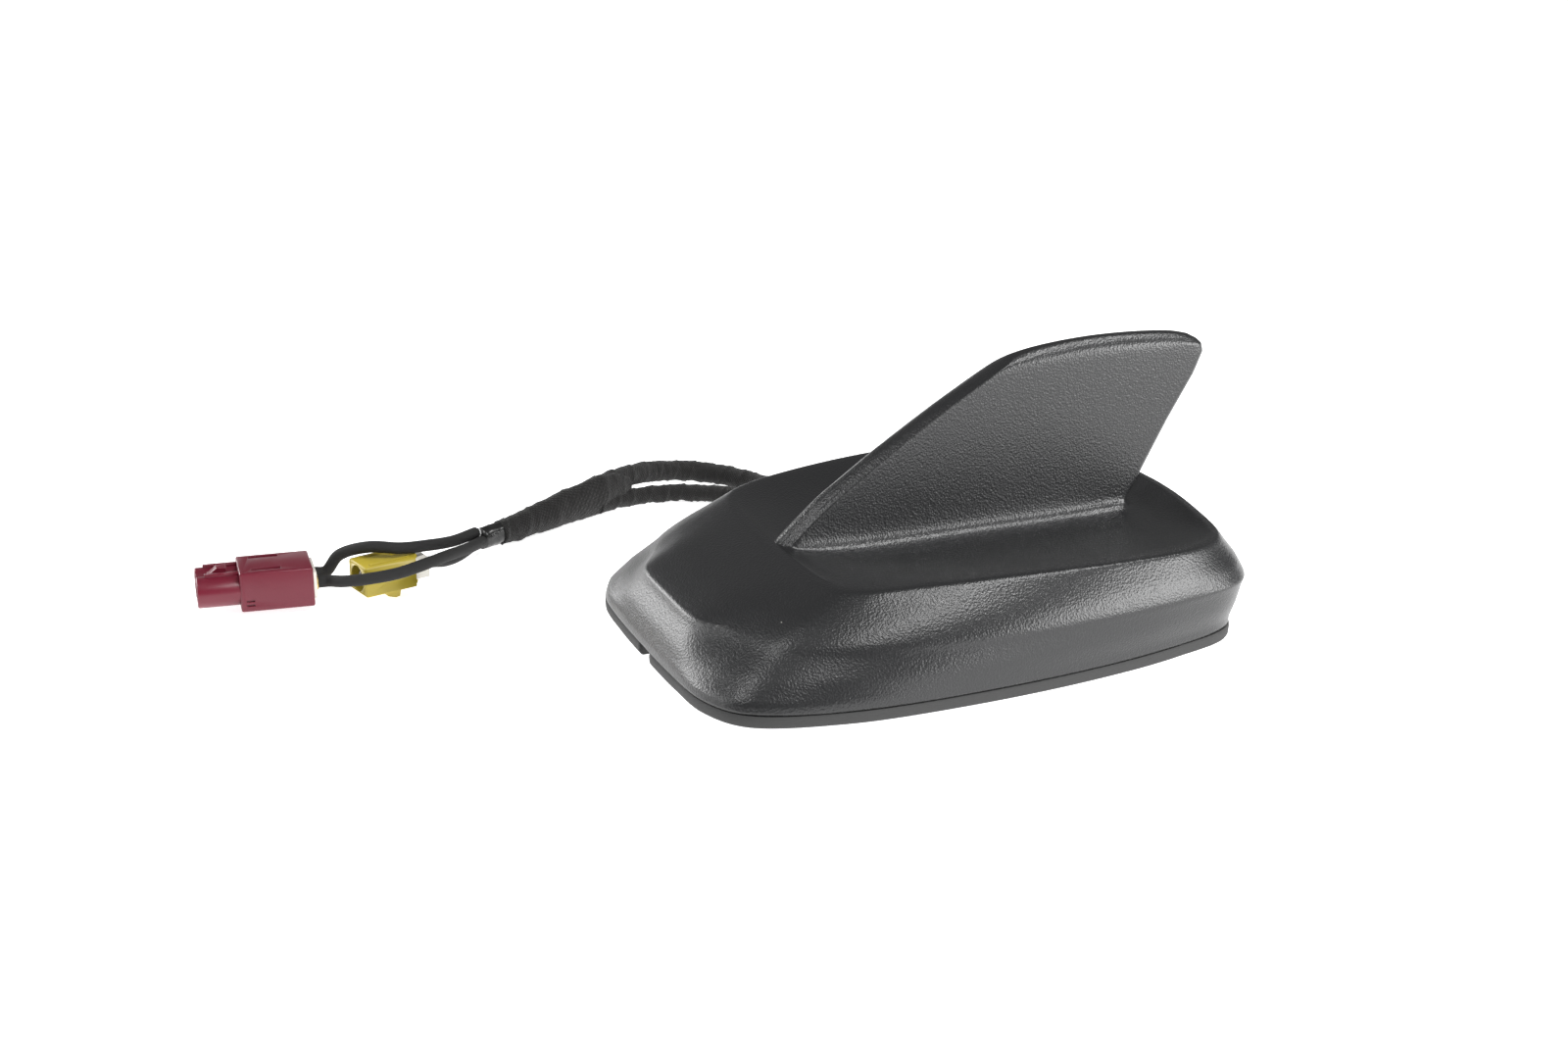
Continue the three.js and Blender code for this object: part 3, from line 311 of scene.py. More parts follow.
def new_rod(
    radius: float,
    start: float,
    end: float,
    centre: Pair,
    axis: str = "X",
    sides: int = 48,
    chamfer: float = 0.0,
) -> bmesh.types.BMesh:
    """Makes a round rod along one axis.

    Args:
        radius: Its radius, in millimetres.
        start: Where it starts on the axis.
        end: Where it ends.
        centre: Its place across the axis.
        axis: "X" or "Z".
        sides: Points round it.
        chamfer: Width of the rounding of its end edges.

    Returns:
        The new mesh.
    """
    bm = bmesh.new()
    bmesh.ops.create_cone(
        bm, cap_ends=True, segments=sides, radius1=radius, radius2=radius, depth=end - start
    )
    if chamfer > 0:
        rims = [e for e in bm.edges if abs(e.verts[0].co.z - e.verts[1].co.z) < 1e-6]
        bevel_edges(bm, rims, chamfer, 3)
    middle = (start + end) / 2
    if axis == "X":
        turn = Matrix.Translation((middle, centre[0], centre[1])) @ Matrix.Rotation(math.pi / 2, 4, "Y")
    else:
        turn = Matrix.Translation((centre[0], centre[1], middle))
    bmesh.ops.transform(bm, matrix=turn, verts=bm.verts)
    return bm


def new_prism(
    profile: Sequence[Pair], y0: float, y1: float, origin: Triple = (0, 0, 0)
) -> bmesh.types.BMesh:
    """Makes a prism whose outline lies in the XZ plane.

    Args:
        profile: Corners as (x, z), in millimetres.
        y0: Where it starts across.
        y1: Where it ends across.
        origin: What is added to every point.

    Returns:
        The new mesh.
    """
    bm = bmesh.new()
    ring = bmesh.ops.create_circle(bm, cap_ends=True, segments=len(profile), radius=1.0)["verts"]
    for vert, (x, z) in zip(ring, profile):
        vert.co = Vector((x, y0, z)) + Vector(origin)
    made = bmesh.ops.extrude_face_region(bm, geom=list(bm.faces))["geom"]
    tops = [g for g in made if isinstance(g, bmesh.types.BMVert)]
    bmesh.ops.translate(bm, vec=(0, y1 - y0, 0), verts=tops)
    bmesh.ops.recalc_face_normals(bm, faces=bm.faces)
    return bm


def gather(*parts: bmesh.types.BMesh) -> bmesh.types.BMesh:
    """Puts several meshes into one and frees them."""
    whole = bmesh.new()
    for part in parts:
        held = bpy.data.meshes.new("held")
        part.to_mesh(held)
        part.free()
        whole.from_mesh(held)
        bpy.data.meshes.remove(held)
    return whole


def settle(
    bm: bmesh.types.BMesh, name: str, matrix: Matrix | None = None, smooth: float | None = 40.0
) -> bpy.types.Object:
    """Turns a mesh in millimetres into an object at the origin, in metres.

    Args:
        bm: The mesh, freed here.
        name: The object's name.
        matrix: Where it goes, in millimetres.
        smooth: Largest angle in degrees shaded smooth; None for all of it.

    Returns:
        The new object.
    """
    if matrix is not None:
        bmesh.ops.transform(bm, matrix=matrix, verts=bm.verts)
    bmesh.ops.scale(bm, vec=(MM, MM, MM), verts=bm.verts)
    bmesh.ops.recalc_face_normals(bm, faces=bm.faces)
    for face in bm.faces:
        face.smooth = True
    if smooth is not None:
        for edge in bm.edges:
            edge.smooth = edge.is_manifold and edge.calc_face_angle(0.0) < math.radians(smooth)
    mesh = bpy.data.meshes.new(name)
    bm.to_mesh(mesh)
    bm.free()
    made = bpy.data.objects.new(name, mesh)
    bpy.context.scene.collection.objects.link(made)
    return made


def carve(body: bpy.types.Object, cutter: bmesh.types.BMesh, matrix: Matrix | None = None) -> None:
    """Cuts one mesh out of an object.

    Args:
        body: What is cut.
        cutter: What is taken away, in millimetres.
        matrix: Where the cutter goes.
    """
    tool = settle(cutter, "cutter", matrix)
    step = body.modifiers.new("cut", "BOOLEAN")
    step.object = tool
    step.operation = "DIFFERENCE"
    step.solver = "EXACT"
    step.use_self = True
    bpy.context.view_layer.update()
    shaped = bpy.data.meshes.new_from_object(body.evaluated_get(bpy.context.evaluated_depsgraph_get()))
    body.modifiers.clear()
    old = body.data
    body.data = shaped
    shaped.name = old.name
    bpy.data.meshes.remove(old)
    bpy.data.objects.remove(tool)


def join_to(body: bpy.types.Object, *parts: bpy.types.Object) -> None:
    """Joins parts into the body's mesh."""
    whole = bmesh.new()
    whole.from_mesh(body.data)
    for part in parts:
        whole.from_mesh(part.data)
        bpy.data.objects.remove(part)
    whole.to_mesh(body.data)
    whole.free()


def round_edges(piece: bpy.types.Object, width: float, segments: int = 2, angle: float = 35.0) -> None:
    """Adds a fine rounding to a piece's sharp edges.

    Args:
        piece: The piece.
        width: Width of the rounding, in millimetres.
        segments: Steps in the rounding.
        angle: Smallest angle in degrees that is rounded.
    """
    step = piece.modifiers.new("edge_rounding", "BEVEL")
    step.width = width * MM
    step.segments = segments
    step.limit_method = "ANGLE"
    step.angle_limit = math.radians(angle)
    step.use_clamp_overlap = True
    step.harden_normals = False


def finish_piece(piece: bpy.types.Object, finish: "Finish", body: str, nodes: Sequence[str] = ()) -> None:
    """Gives a piece its finish, its body and the nodes that it stands for.

    Args:
        piece: The piece.
        finish: Its finish.
        body: The body that it rides on.
        nodes: The frame's nodes that it stands for.
    """
    piece.data.materials.clear()
    piece.data.materials.append(finish.material())
    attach(piece, body)
    if nodes:
        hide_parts(*nodes)
    log.info("%s rides on %s and stands for %s", piece.name, body, ", ".join(nodes) or "nothing")


# ---------------------------------------------------------------- finishes
class Relief(Enum):
    """The kinds of surface that the pieces have."""

    MOULDED = "moulded"
    SMOOTH = "smooth"
    CAST = "cast"
    PLATED = "plated"
    LAMINATE = "laminate"
    CERAMIC = "ceramic"
    CLOTH = "cloth"
    FOAM = "foam"


class Effects:
    """Shader node groups that several finishes share."""

    @staticmethod
    def _begin(name: str, inputs: dict[str, float], outputs: Sequence[str]) -> bpy.types.NodeTree:
        """Starts a group with a vector input, value inputs and value outputs.

        Args:
            name: The group's name.
            inputs: Each value input and its default.
            outputs: The value outputs.

        Returns:
            The new group.
        """
        tree = bpy.data.node_groups.new(name, "ShaderNodeTree")
        tree.interface.new_socket("Vector", in_out="INPUT", socket_type="NodeSocketVector")
        for key, value in inputs.items():
            socket = tree.interface.new_socket(key, in_out="INPUT", socket_type="NodeSocketFloat")
            socket.default_value = value
        for key in outputs:
            tree.interface.new_socket(key, in_out="OUTPUT", socket_type="NodeSocketFloat")
        tree.nodes.new("NodeGroupInput")
        tree.nodes.new("NodeGroupOutput")
        return tree

    @classmethod
    def grain(cls) -> bpy.types.NodeTree:
        """Fine pebbled relief of a moulded or cast skin, with a slow change of tone and light specks that are
        partly dirt and partly painted glints of the grain.
        """
        name = "pebbled_grain"
        if name in bpy.data.node_groups:
            return bpy.data.node_groups[name]
        tree = cls._begin(name, {"Scale": 1800.0, "Slow Scale": 30.0}, ["Height", "Tone", "Dust"])
        pen = Pen(tree)
        source, sink = tree.nodes["Group Input"], tree.nodes["Group Output"]
        warp = pen.add("ShaderNodeTexNoise", Detail=2.0, Roughness=0.6)
        pen.join(source.outputs["Vector"], warp.inputs["Vector"])
        pen.join(source.outputs["Scale"], warp.inputs["Scale"])
        cells = pen.add("ShaderNodeTexVoronoi", Randomness=1.0)
        cells.feature = "SMOOTH_F1"
        cells.inputs["Smoothness"].default_value = 0.6
        pen.join(source.outputs["Vector"], cells.inputs["Vector"])
        pen.join(source.outputs["Scale"], cells.inputs["Scale"])
        blend = pen.math("MULTIPLY_ADD", warp.outputs["Fac"], 0.7, cells.outputs["Distance"])
        pen.join(blend, sink.inputs["Height"])
        slow = pen.add("ShaderNodeTexNoise", Detail=4.0, Roughness=0.55)
        pen.join(source.outputs["Vector"], slow.inputs["Vector"])
        pen.join(source.outputs["Slow Scale"], slow.inputs["Scale"])
        pen.join(slow.outputs["Fac"], sink.inputs["Tone"])
        # Light specks: partly dirt, partly painted glints of the grain.
        specks = pen.add("ShaderNodeTexVoronoi", Scale=95.0, Randomness=1.0)
        pen.join(source.outputs["Vector"], specks.inputs["Vector"])
        near = pen.math("LESS_THAN", specks.outputs["Distance"], 0.014)
        some = pen.math("GREATER_THAN", specks.outputs["Color"], 0.6)
        pen.join(pen.math("MULTIPLY", near, some), sink.inputs["Dust"])
        return tree

    @classmethod
    def scuffs(cls) -> bpy.types.NodeTree:
        """Long faint rubs left by handling."""
        name = "handling_scuffs"
        if name in bpy.data.node_groups:
            return bpy.data.node_groups[name]
        tree = cls._begin(name, {"Scale": 60.0}, ["Mask"])
        pen = Pen(tree)
        source, sink = tree.nodes["Group Input"], tree.nodes["Group Output"]
        spread = pen.add("ShaderNodeMapping")
        spread.inputs["Scale"].default_value = (0.35, 2.4, 1.6)
        spread.inputs["Rotation"].default_value = (0.3, 0.2, 0.6)
        pen.join(source.outputs["Vector"], spread.inputs["Vector"])
        rub = pen.add("ShaderNodeTexNoise", Detail=6.0, Roughness=0.7, Distortion=0.4)
        pen.join(spread.outputs["Vector"], rub.inputs["Vector"])
        pen.join(source.outputs["Scale"], rub.inputs["Scale"])
        ramp = pen.remap(rub.outputs["Fac"], 0.56, 0.78, 0.0, 1.0)
        pen.join(ramp, sink.inputs["Mask"])
        return tree

    @classmethod
    def cloth(cls) -> bpy.types.NodeTree:
        """Fleece weave over wound tape, on a UV map in metres."""
        name = "tape_cloth"
        if name in bpy.data.node_groups:
            return bpy.data.node_groups[name]
        tree = cls._begin(name, {"Threads": 2600.0}, ["Height", "Fuzz"])
        pen = Pen(tree)
        source, sink = tree.nodes["Group Input"], tree.nodes["Group Output"]
        turned = pen.add("ShaderNodeMapping")
        turned.inputs["Rotation"].default_value = (0, 0, 0.9)
        pen.join(source.outputs["Vector"], turned.inputs["Vector"])
        threads = []
        for direction in ("X", "Y"):
            band = pen.add("ShaderNodeTexWave", Distortion=2.2, Detail=2.0)
            band.bands_direction = direction
            pen.join(turned.outputs["Vector"], band.inputs["Vector"])
            pen.join(pen.math("MULTIPLY", source.outputs["Threads"], 0.16), band.inputs["Scale"])
            threads.append(band.outputs["Fac"])
        weave = pen.math("MULTIPLY", threads[0], threads[1])
        fibre = pen.add("ShaderNodeTexNoise", Detail=5.0, Roughness=0.8)
        pen.join(source.outputs["Vector"], fibre.inputs["Vector"])
        pen.join(source.outputs["Threads"], fibre.inputs["Scale"])
        pen.join(pen.math("MULTIPLY_ADD", fibre.outputs["Fac"], 0.8, weave), sink.inputs["Height"])
        pen.join(fibre.outputs["Fac"], sink.inputs["Fuzz"])
        return tree


class Pen:
    """Adds and joins nodes in one node tree."""

    def __init__(self, tree: bpy.types.NodeTree) -> None:
        """Takes the tree to write in."""
        self.tree = tree

    def add(self, kind: str, **values: float) -> bpy.types.Node:
        """Adds a node and sets its inputs; a capital in a name stands for the input's own name."""
        node = self.tree.nodes.new(kind)
        for key, value in values.items():
            node.inputs[key.replace("_", " ")].default_value = value
        return node

    def join(self, source: bpy.types.NodeSocket, target: bpy.types.NodeSocket) -> None:
        """Links one socket to another."""
        self.tree.links.new(source, target)

    def math(
        self, operation: str, a: bpy.types.NodeSocket, b: float, c: bpy.types.NodeSocket | None = None
    ) -> bpy.types.NodeSocket:
        """Adds a math node.

        Args:
            operation: Blender's name of the sum.
            a: First term.
            b: Second term, a number or a socket.
            c: Third term, where the sum has one.

        Returns:
            The result's socket.
        """
        node = self.tree.nodes.new("ShaderNodeMath")
        node.operation = operation
        self.join(a, node.inputs[0])
        if isinstance(b, bpy.types.NodeSocket):
            self.join(b, node.inputs[1])
        else:
            node.inputs[1].default_value = b
        if c is not None:
            self.join(c, node.inputs[2])
        return node.outputs[0]

    def remap(
        self, value: bpy.types.NodeSocket, a: float, b: float, low: float, high: float
    ) -> bpy.types.NodeSocket:
        """Maps a value from the range a to b onto the range low to high."""
        node = self.tree.nodes.new("ShaderNodeMapRange")
        node.inputs["From Min"].default_value = a
        node.inputs["From Max"].default_value = b
        node.inputs["To Min"].default_value = low
        node.inputs["To Max"].default_value = high
        self.join(value, node.inputs["Value"])
        return node.outputs["Result"]

    def tint(
        self, mask: bpy.types.NodeSocket, base: bpy.types.NodeSocket | Sequence[float], over: Sequence[float]
    ) -> bpy.types.NodeSocket:
        """Mixes a colour over another by a mask.

        Args:
            mask: How much of the second colour shows.
            base: The first colour, or its socket.
            over: The second colour.

        Returns:
            The mixed colour's socket.
        """
        node = self.tree.nodes.new("ShaderNodeMix")
        node.data_type = "RGBA"
        self.join(mask, node.inputs["Factor"])
        if isinstance(base, bpy.types.NodeSocket):
            self.join(base, node.inputs["A"])
        else:
            node.inputs["A"].default_value = (*base, 1)
        node.inputs["B"].default_value = (*over, 1)
        return node.outputs["Result"]


@dataclass(frozen=True)
class Finish:
    """One surface finish.

    Args:
        name: The material's name.
        slot: The record's material slot.
        colour: Its usual colour, linear.
        deep: The second colour, which slow random tone, the fibres or the board's pattern mix in.
        roughness: Its usual roughness.
        spread: How far the roughness changes either way.
        metallic: 1 for bare metal.
        relief: The kind of surface.
        scale: Grain per metre.
        depth: Height of the grain, in millimetres.
        coat: Weight of a clear coat.
        sheen: Weight of a soft fibre sheen.
        specular: Strength of its plain reflection.
        dust_and_glints: How plainly light specks show, 0 to 1; they are partly dirt and partly painted glints
            of the grain.
    """

    name: str
    slot: str
    colour: Triple
    deep: Triple
    roughness: float
    spread: float = 0.06
    metallic: float = 0.0
    relief: Relief = Relief.MOULDED
    scale: float = 1500.0
    depth: float = 0.03
    coat: float = 0.0
    sheen: float = 0.0
    specular: float = 0.5
    dust_and_glints: float = 0.0

    def material(self) -> bpy.types.Material:
        """Gives the material, made the first time it is asked for."""
        if self.name in bpy.data.materials:
            return bpy.data.materials[self.name]
        made = bpy.data.materials.new(self.name)
        made.use_nodes = True
        made.diffuse_color = (*self.colour, 1)
        pen = Pen(made.node_tree)
        shader = made.node_tree.nodes["Principled BSDF"]
        shader.inputs["Metallic"].default_value = self.metallic
        shader.inputs["Specular IOR Level"].default_value = self.specular
        shader.inputs["Coat Weight"].default_value = self.coat
        shader.inputs["Coat Roughness"].default_value = 0.25
        shader.inputs["Sheen Weight"].default_value = self.sheen
        shader.inputs["Sheen Roughness"].default_value = 0.6
        coords = pen.add("ShaderNodeTexCoord")
        if self.relief is Relief.CLOTH:
            self._cloth(pen, shader, coords)
        elif self.relief is Relief.LAMINATE:
            self._laminate(pen, shader, coords)
        else:
            self._grained(pen, shader, coords)
        return made

    def _bump(
        self, pen: Pen, shader: bpy.types.Node, height: bpy.types.NodeSocket, share: float = 1.0
    ) -> None:
        """Feeds a height through a bump node into the shader.

        Args:
            pen: Writes in the material.
            shader: The material's shader.
            height: The height's socket.
            share: Strength of the bump.
        """
        bump = pen.add("ShaderNodeBump", Strength=share, Distance=self.depth * MM)
        pen.join(height, bump.inputs["Height"])
        pen.join(bump.outputs["Normal"], shader.inputs["Normal"])

    def _grained(self, pen: Pen, shader: bpy.types.Node, coords: bpy.types.Node) -> None:
        """Builds a pebbled, smooth, cast, plated, ceramic or foam surface."""
        grain = pen.add("ShaderNodeGroup")
        grain.node_tree = Effects.grain()
        grain.inputs["Scale"].default_value = self.scale
        grain.inputs["Slow Scale"].default_value = 28.0 if self.relief is Relief.MOULDED else 60.0
        pen.join(coords.outputs["Object"], grain.inputs["Vector"])
        rub = pen.add("ShaderNodeGroup")
        rub.node_tree = Effects.scuffs()
        rub.inputs["Scale"].default_value = 130.0 if self.relief is Relief.PLATED else 70.0
        pen.join(coords.outputs["Object"], rub.inputs["Vector"])
        tone = pen.remap(grain.outputs["Tone"], 0.3, 0.7, 0.0, 1.0)
        colour = pen.tint(tone, self.colour, self.deep)
        # Paints light specks into the colour: partly dirt, partly painted glints of the grain.
        if self.dust_and_glints > 0:
            speck = pen.math("MULTIPLY", grain.outputs["Dust"], self.dust_and_glints)
            colour = pen.tint(speck, colour, (0.55, 0.53, 0.5))
        pen.join(colour, shader.inputs["Base Color"])
        rough = pen.remap(
            grain.outputs["Tone"], 0.3, 0.7, self.roughness - self.spread, self.roughness + self.spread
        )
        rough = pen.math("MULTIPLY_ADD", rub.outputs["Mask"], -self.spread, rough)
        pen.join(rough, shader.inputs["Roughness"])
        self._bump(pen, shader, grain.outputs["Height"])

    def _cloth(self, pen: Pen, shader: bpy.types.Node, coords: bpy.types.Node) -> None:
        """Builds wound fleece tape."""
        weave = pen.add("ShaderNodeGroup")
        weave.node_tree = Effects.cloth()
        weave.inputs["Threads"].default_value = self.scale
        pen.join(coords.outputs["UV"], weave.inputs["Vector"])
        fuzz = pen.remap(weave.outputs["Fuzz"], 0.35, 0.7, 0.0, 1.0)
        pen.join(pen.tint(fuzz, self.deep, self.colour), shader.inputs["Base Color"])
        dull, keen = self.roughness + self.spread, self.roughness - self.spread
        rough = pen.remap(weave.outputs["Fuzz"], 0.3, 0.7, dull, keen)
        pen.join(rough, shader.inputs["Roughness"])
        self._bump(pen, shader, weave.outputs["Height"])

    def _laminate(self, pen: Pen, shader: bpy.types.Node, coords: bpy.types.Node) -> None:
        """Builds a circuit board's solder mask with tracks under it."""
        tracks = pen.add("ShaderNodeTexBrick", Scale=220.0)
        tracks.inputs["Color1"].default_value = (*self.colour, 1)
        tracks.inputs["Color2"].default_value = (*self.deep, 1)
        tracks.inputs["Mortar"].default_value = tuple(1.5 * c for c in self.colour) + (1,)
        tracks.inputs["Mortar Size"].default_value = 0.05
        pen.join(coords.outputs["Object"], tracks.inputs["Vector"])
        pen.join(tracks.outputs["Color"], shader.inputs["Base Color"])
        glassy = pen.add("ShaderNodeTexNoise", Scale=900.0, Detail=3.0)
        pen.join(coords.outputs["Object"], glassy.inputs["Vector"])
        rough = pen.remap(
            glassy.outputs["Fac"], 0.3, 0.7, self.roughness - self.spread, self.roughness + self.spread
        )
        pen.join(rough, shader.inputs["Roughness"])
        self._bump(pen, shader, tracks.outputs["Fac"], 0.6)


# The radome takes the light specks at full strength: partly dirt, partly painted glints of its grain.
RADOME = Finish(
    "charcoal_moulding", "radome_plastic", (0.0135, 0.0138, 0.0146), (0.011, 0.0113, 0.012), 0.33,
    spread=0.03, scale=1900.0, depth=0.07, specular=0.5, dust_and_glints=1.0,
)
SEAL = Finish(
    "seal_rubber", "seal_rubber", (0.02, 0.02, 0.021), (0.015, 0.015, 0.016), 0.56,
    relief=Relief.SMOOTH, scale=2400.0, depth=0.012, dust_and_glints=0.6,
)
FOAM = Finish(
    "closed_foam", "foam_rubber", (0.018, 0.018, 0.02), (0.01, 0.01, 0.011), 0.92,
    relief=Relief.FOAM, scale=900.0, depth=0.09,
)
CAST = Finish(
    "die_cast", "cast_alloy", (0.47, 0.48, 0.49), (0.36, 0.37, 0.38), 0.46,
    metallic=1.0, relief=Relief.CAST, scale=1100.0, depth=0.05, spread=0.1,
)
ZINC = Finish(
    "zinc_plate", "zinc_steel", (0.62, 0.63, 0.64), (0.48, 0.49, 0.5), 0.34,
    metallic=1.0, relief=Relief.PLATED, scale=2600.0, depth=0.01, spread=0.1,
)
DARK_STEEL = Finish(
    "dark_flake", "dark_steel", (0.16, 0.16, 0.17), (0.1, 0.1, 0.11), 0.42,
    metallic=1.0, relief=Relief.PLATED, scale=2200.0, depth=0.02, spread=0.1,
)
LAMINATE = Finish(
    "board_mask", "board_laminate", (0.018, 0.1, 0.04), (0.014, 0.08, 0.032), 0.36,
    relief=Relief.LAMINATE, depth=0.02,
)
CERAMIC = Finish(
    "patch_ceramic", "patch_ceramic", (0.68, 0.6, 0.5), (0.6, 0.52, 0.43), 0.5,
    relief=Relief.CERAMIC, scale=1800.0, depth=0.015,
)
BRASS = Finish(
    "contact_brass", "contact_brass", (0.72, 0.5, 0.2), (0.56, 0.38, 0.14), 0.3,
    metallic=1.0, relief=Relief.PLATED, scale=3000.0, depth=0.008, spread=0.08,
)
TIN = Finish(
    "tinned_sheet", "tinned_sheet", (0.7, 0.7, 0.71), (0.55, 0.55, 0.57), 0.32,
    metallic=1.0, relief=Relief.PLATED, scale=2400.0, depth=0.01, spread=0.1,
)
TAPE = Finish(
    "fleece_tape", "cloth_tape", (0.009, 0.0084, 0.008), (0.0042, 0.0039, 0.0036), 0.92,
    relief=Relief.CLOTH, scale=2600.0, depth=0.16, sheen=0.12, specular=0.25, spread=0.05,
)
SLEEVE = Finish(
    "shrunk_sleeve", "sleeve_plastic", (0.009, 0.009, 0.009), (0.007, 0.007, 0.007), 0.3,
    relief=Relief.SMOOTH, scale=700.0, depth=0.04, coat=0.2,
)
JACKET = Finish(
    "coax_jacket", "coax_jacket", (0.009, 0.009, 0.0098), (0.007, 0.007, 0.0078), 0.28,
    relief=Relief.SMOOTH, scale=1600.0, depth=0.012, spread=0.05,
)
VIOLET = Finish(
    "bordeaux_moulding", "violet_plastic", (0.145, 0.007, 0.022), (0.12, 0.0055, 0.018), 0.34,
    scale=1900.0, depth=0.012, dust_and_glints=0.3,
)
YELLOW = Finish(
    "ochre_moulding", "yellow_plastic", (0.47, 0.37, 0.04), (0.41, 0.32, 0.032), 0.42,
    scale=1900.0, depth=0.012, dust_and_glints=0.2,
)
WHITE = Finish(
    "white_moulding", "white_plastic", (0.78, 0.76, 0.7), (0.7, 0.68, 0.62), 0.45,
    scale=1900.0, depth=0.012,
)
BY_SLOT = {
    f.slot: f
    for f in (
        RADOME, SEAL, FOAM, CAST, ZINC, DARK_STEEL, LAMINATE, CERAMIC,
        BRASS, TIN, TAPE, SLEEVE, JACKET, VIOLET, YELLOW, WHITE,
    )
}


# ---------------------------------------------------------------- plan of the body
@dataclass
class Plan:
    """Plan outlines and heights that the radome, seal and gasket share, in millimetres.

    Args:
        ring: Points in every loop of the radome.
        stand: Underside of the seal above the ground.
        seal: Thickness of the seal.
        gap: Clearance between touching pieces.
        wall: Wall of the radome.
        waist: Height of the flank's widest line.
        deck: Height of the deck's edge at its ends.
        crown: How much the deck's edge rises amidships.
        dish: How far the deck sinks from its edge to the fin's foot.
    """

    ring: int = 60
    stand: float = 14.0
    seal: float = 3.2
    gap: float = 0.3
    wall: float = 2.2
    waist: float = 31.0
    deck: float = 40.4
    crown: float = 2.4
    dish: float = 3.4
    bottom_half: tuple[Pair, ...] = (
        (-77.1, 0), (-76.8, 20), (-75.2, 36), (-68.5, 47.4), (-46, 54.6), (-15, 56),
        (20, 53.6), (46, 48.8), (64.2, 41.9), (70, 27), (71.8, 0),
    )
    waist_half: tuple[Pair, ...] = (
        (-70.8, 0), (-70.3, 18), (-67.2, 30), (-60.5, 38.6), (-42, 49.2), (-8, 55.2),
        (26, 54.8), (50, 51.4), (65.6, 45.4), (72.3, 28), (74.3, 0),
    )
    deck_half: tuple[Pair, ...] = (
        (-44, 0), (-43.6, 18), (-41.8, 32), (-36.5, 39.8), (-20, 44.6), (8, 48.6),
        (32, 49.2), (52, 46), (62, 38), (66.5, 20), (68.5, 0),
    )

    def outline(self, half: Sequence[Pair], count: int | None = None) -> Loop:
        """Gives a whole loop from half of it.

        Args:
            half: Points nose to tail as (x, half width).
            count: Points wanted; the radome's own count by default.

        Returns:
            The loop, from the nose and near side first.
        """
        near = [Vector((x, -w, 0)) for x, w in half]
        far = [Vector((x, w, 0)) for x, w in half[-2:0:-1]]
        line = Route(tuple(near + far), closed=True)
        number = count or self.ring
        return [line.at(i / number) for i in range(number)]

    def edge_height(self, p: Vector) -> float:
        """Gives the height of the deck's edge over a point."""
        middle = (self.deck_half[0][0] + self.deck_half[-1][0]) / 2
        reach = (self.deck_half[-1][0] - self.deck_half[0][0]) / 2
        return self.deck + self.crown * (1 - min(1.0, ((p.x - middle) / reach) ** 2))

    @property
    def rim(self) -> float:
        """Height of the radome's lower rim."""
        return self.stand + self.seal + self.gap


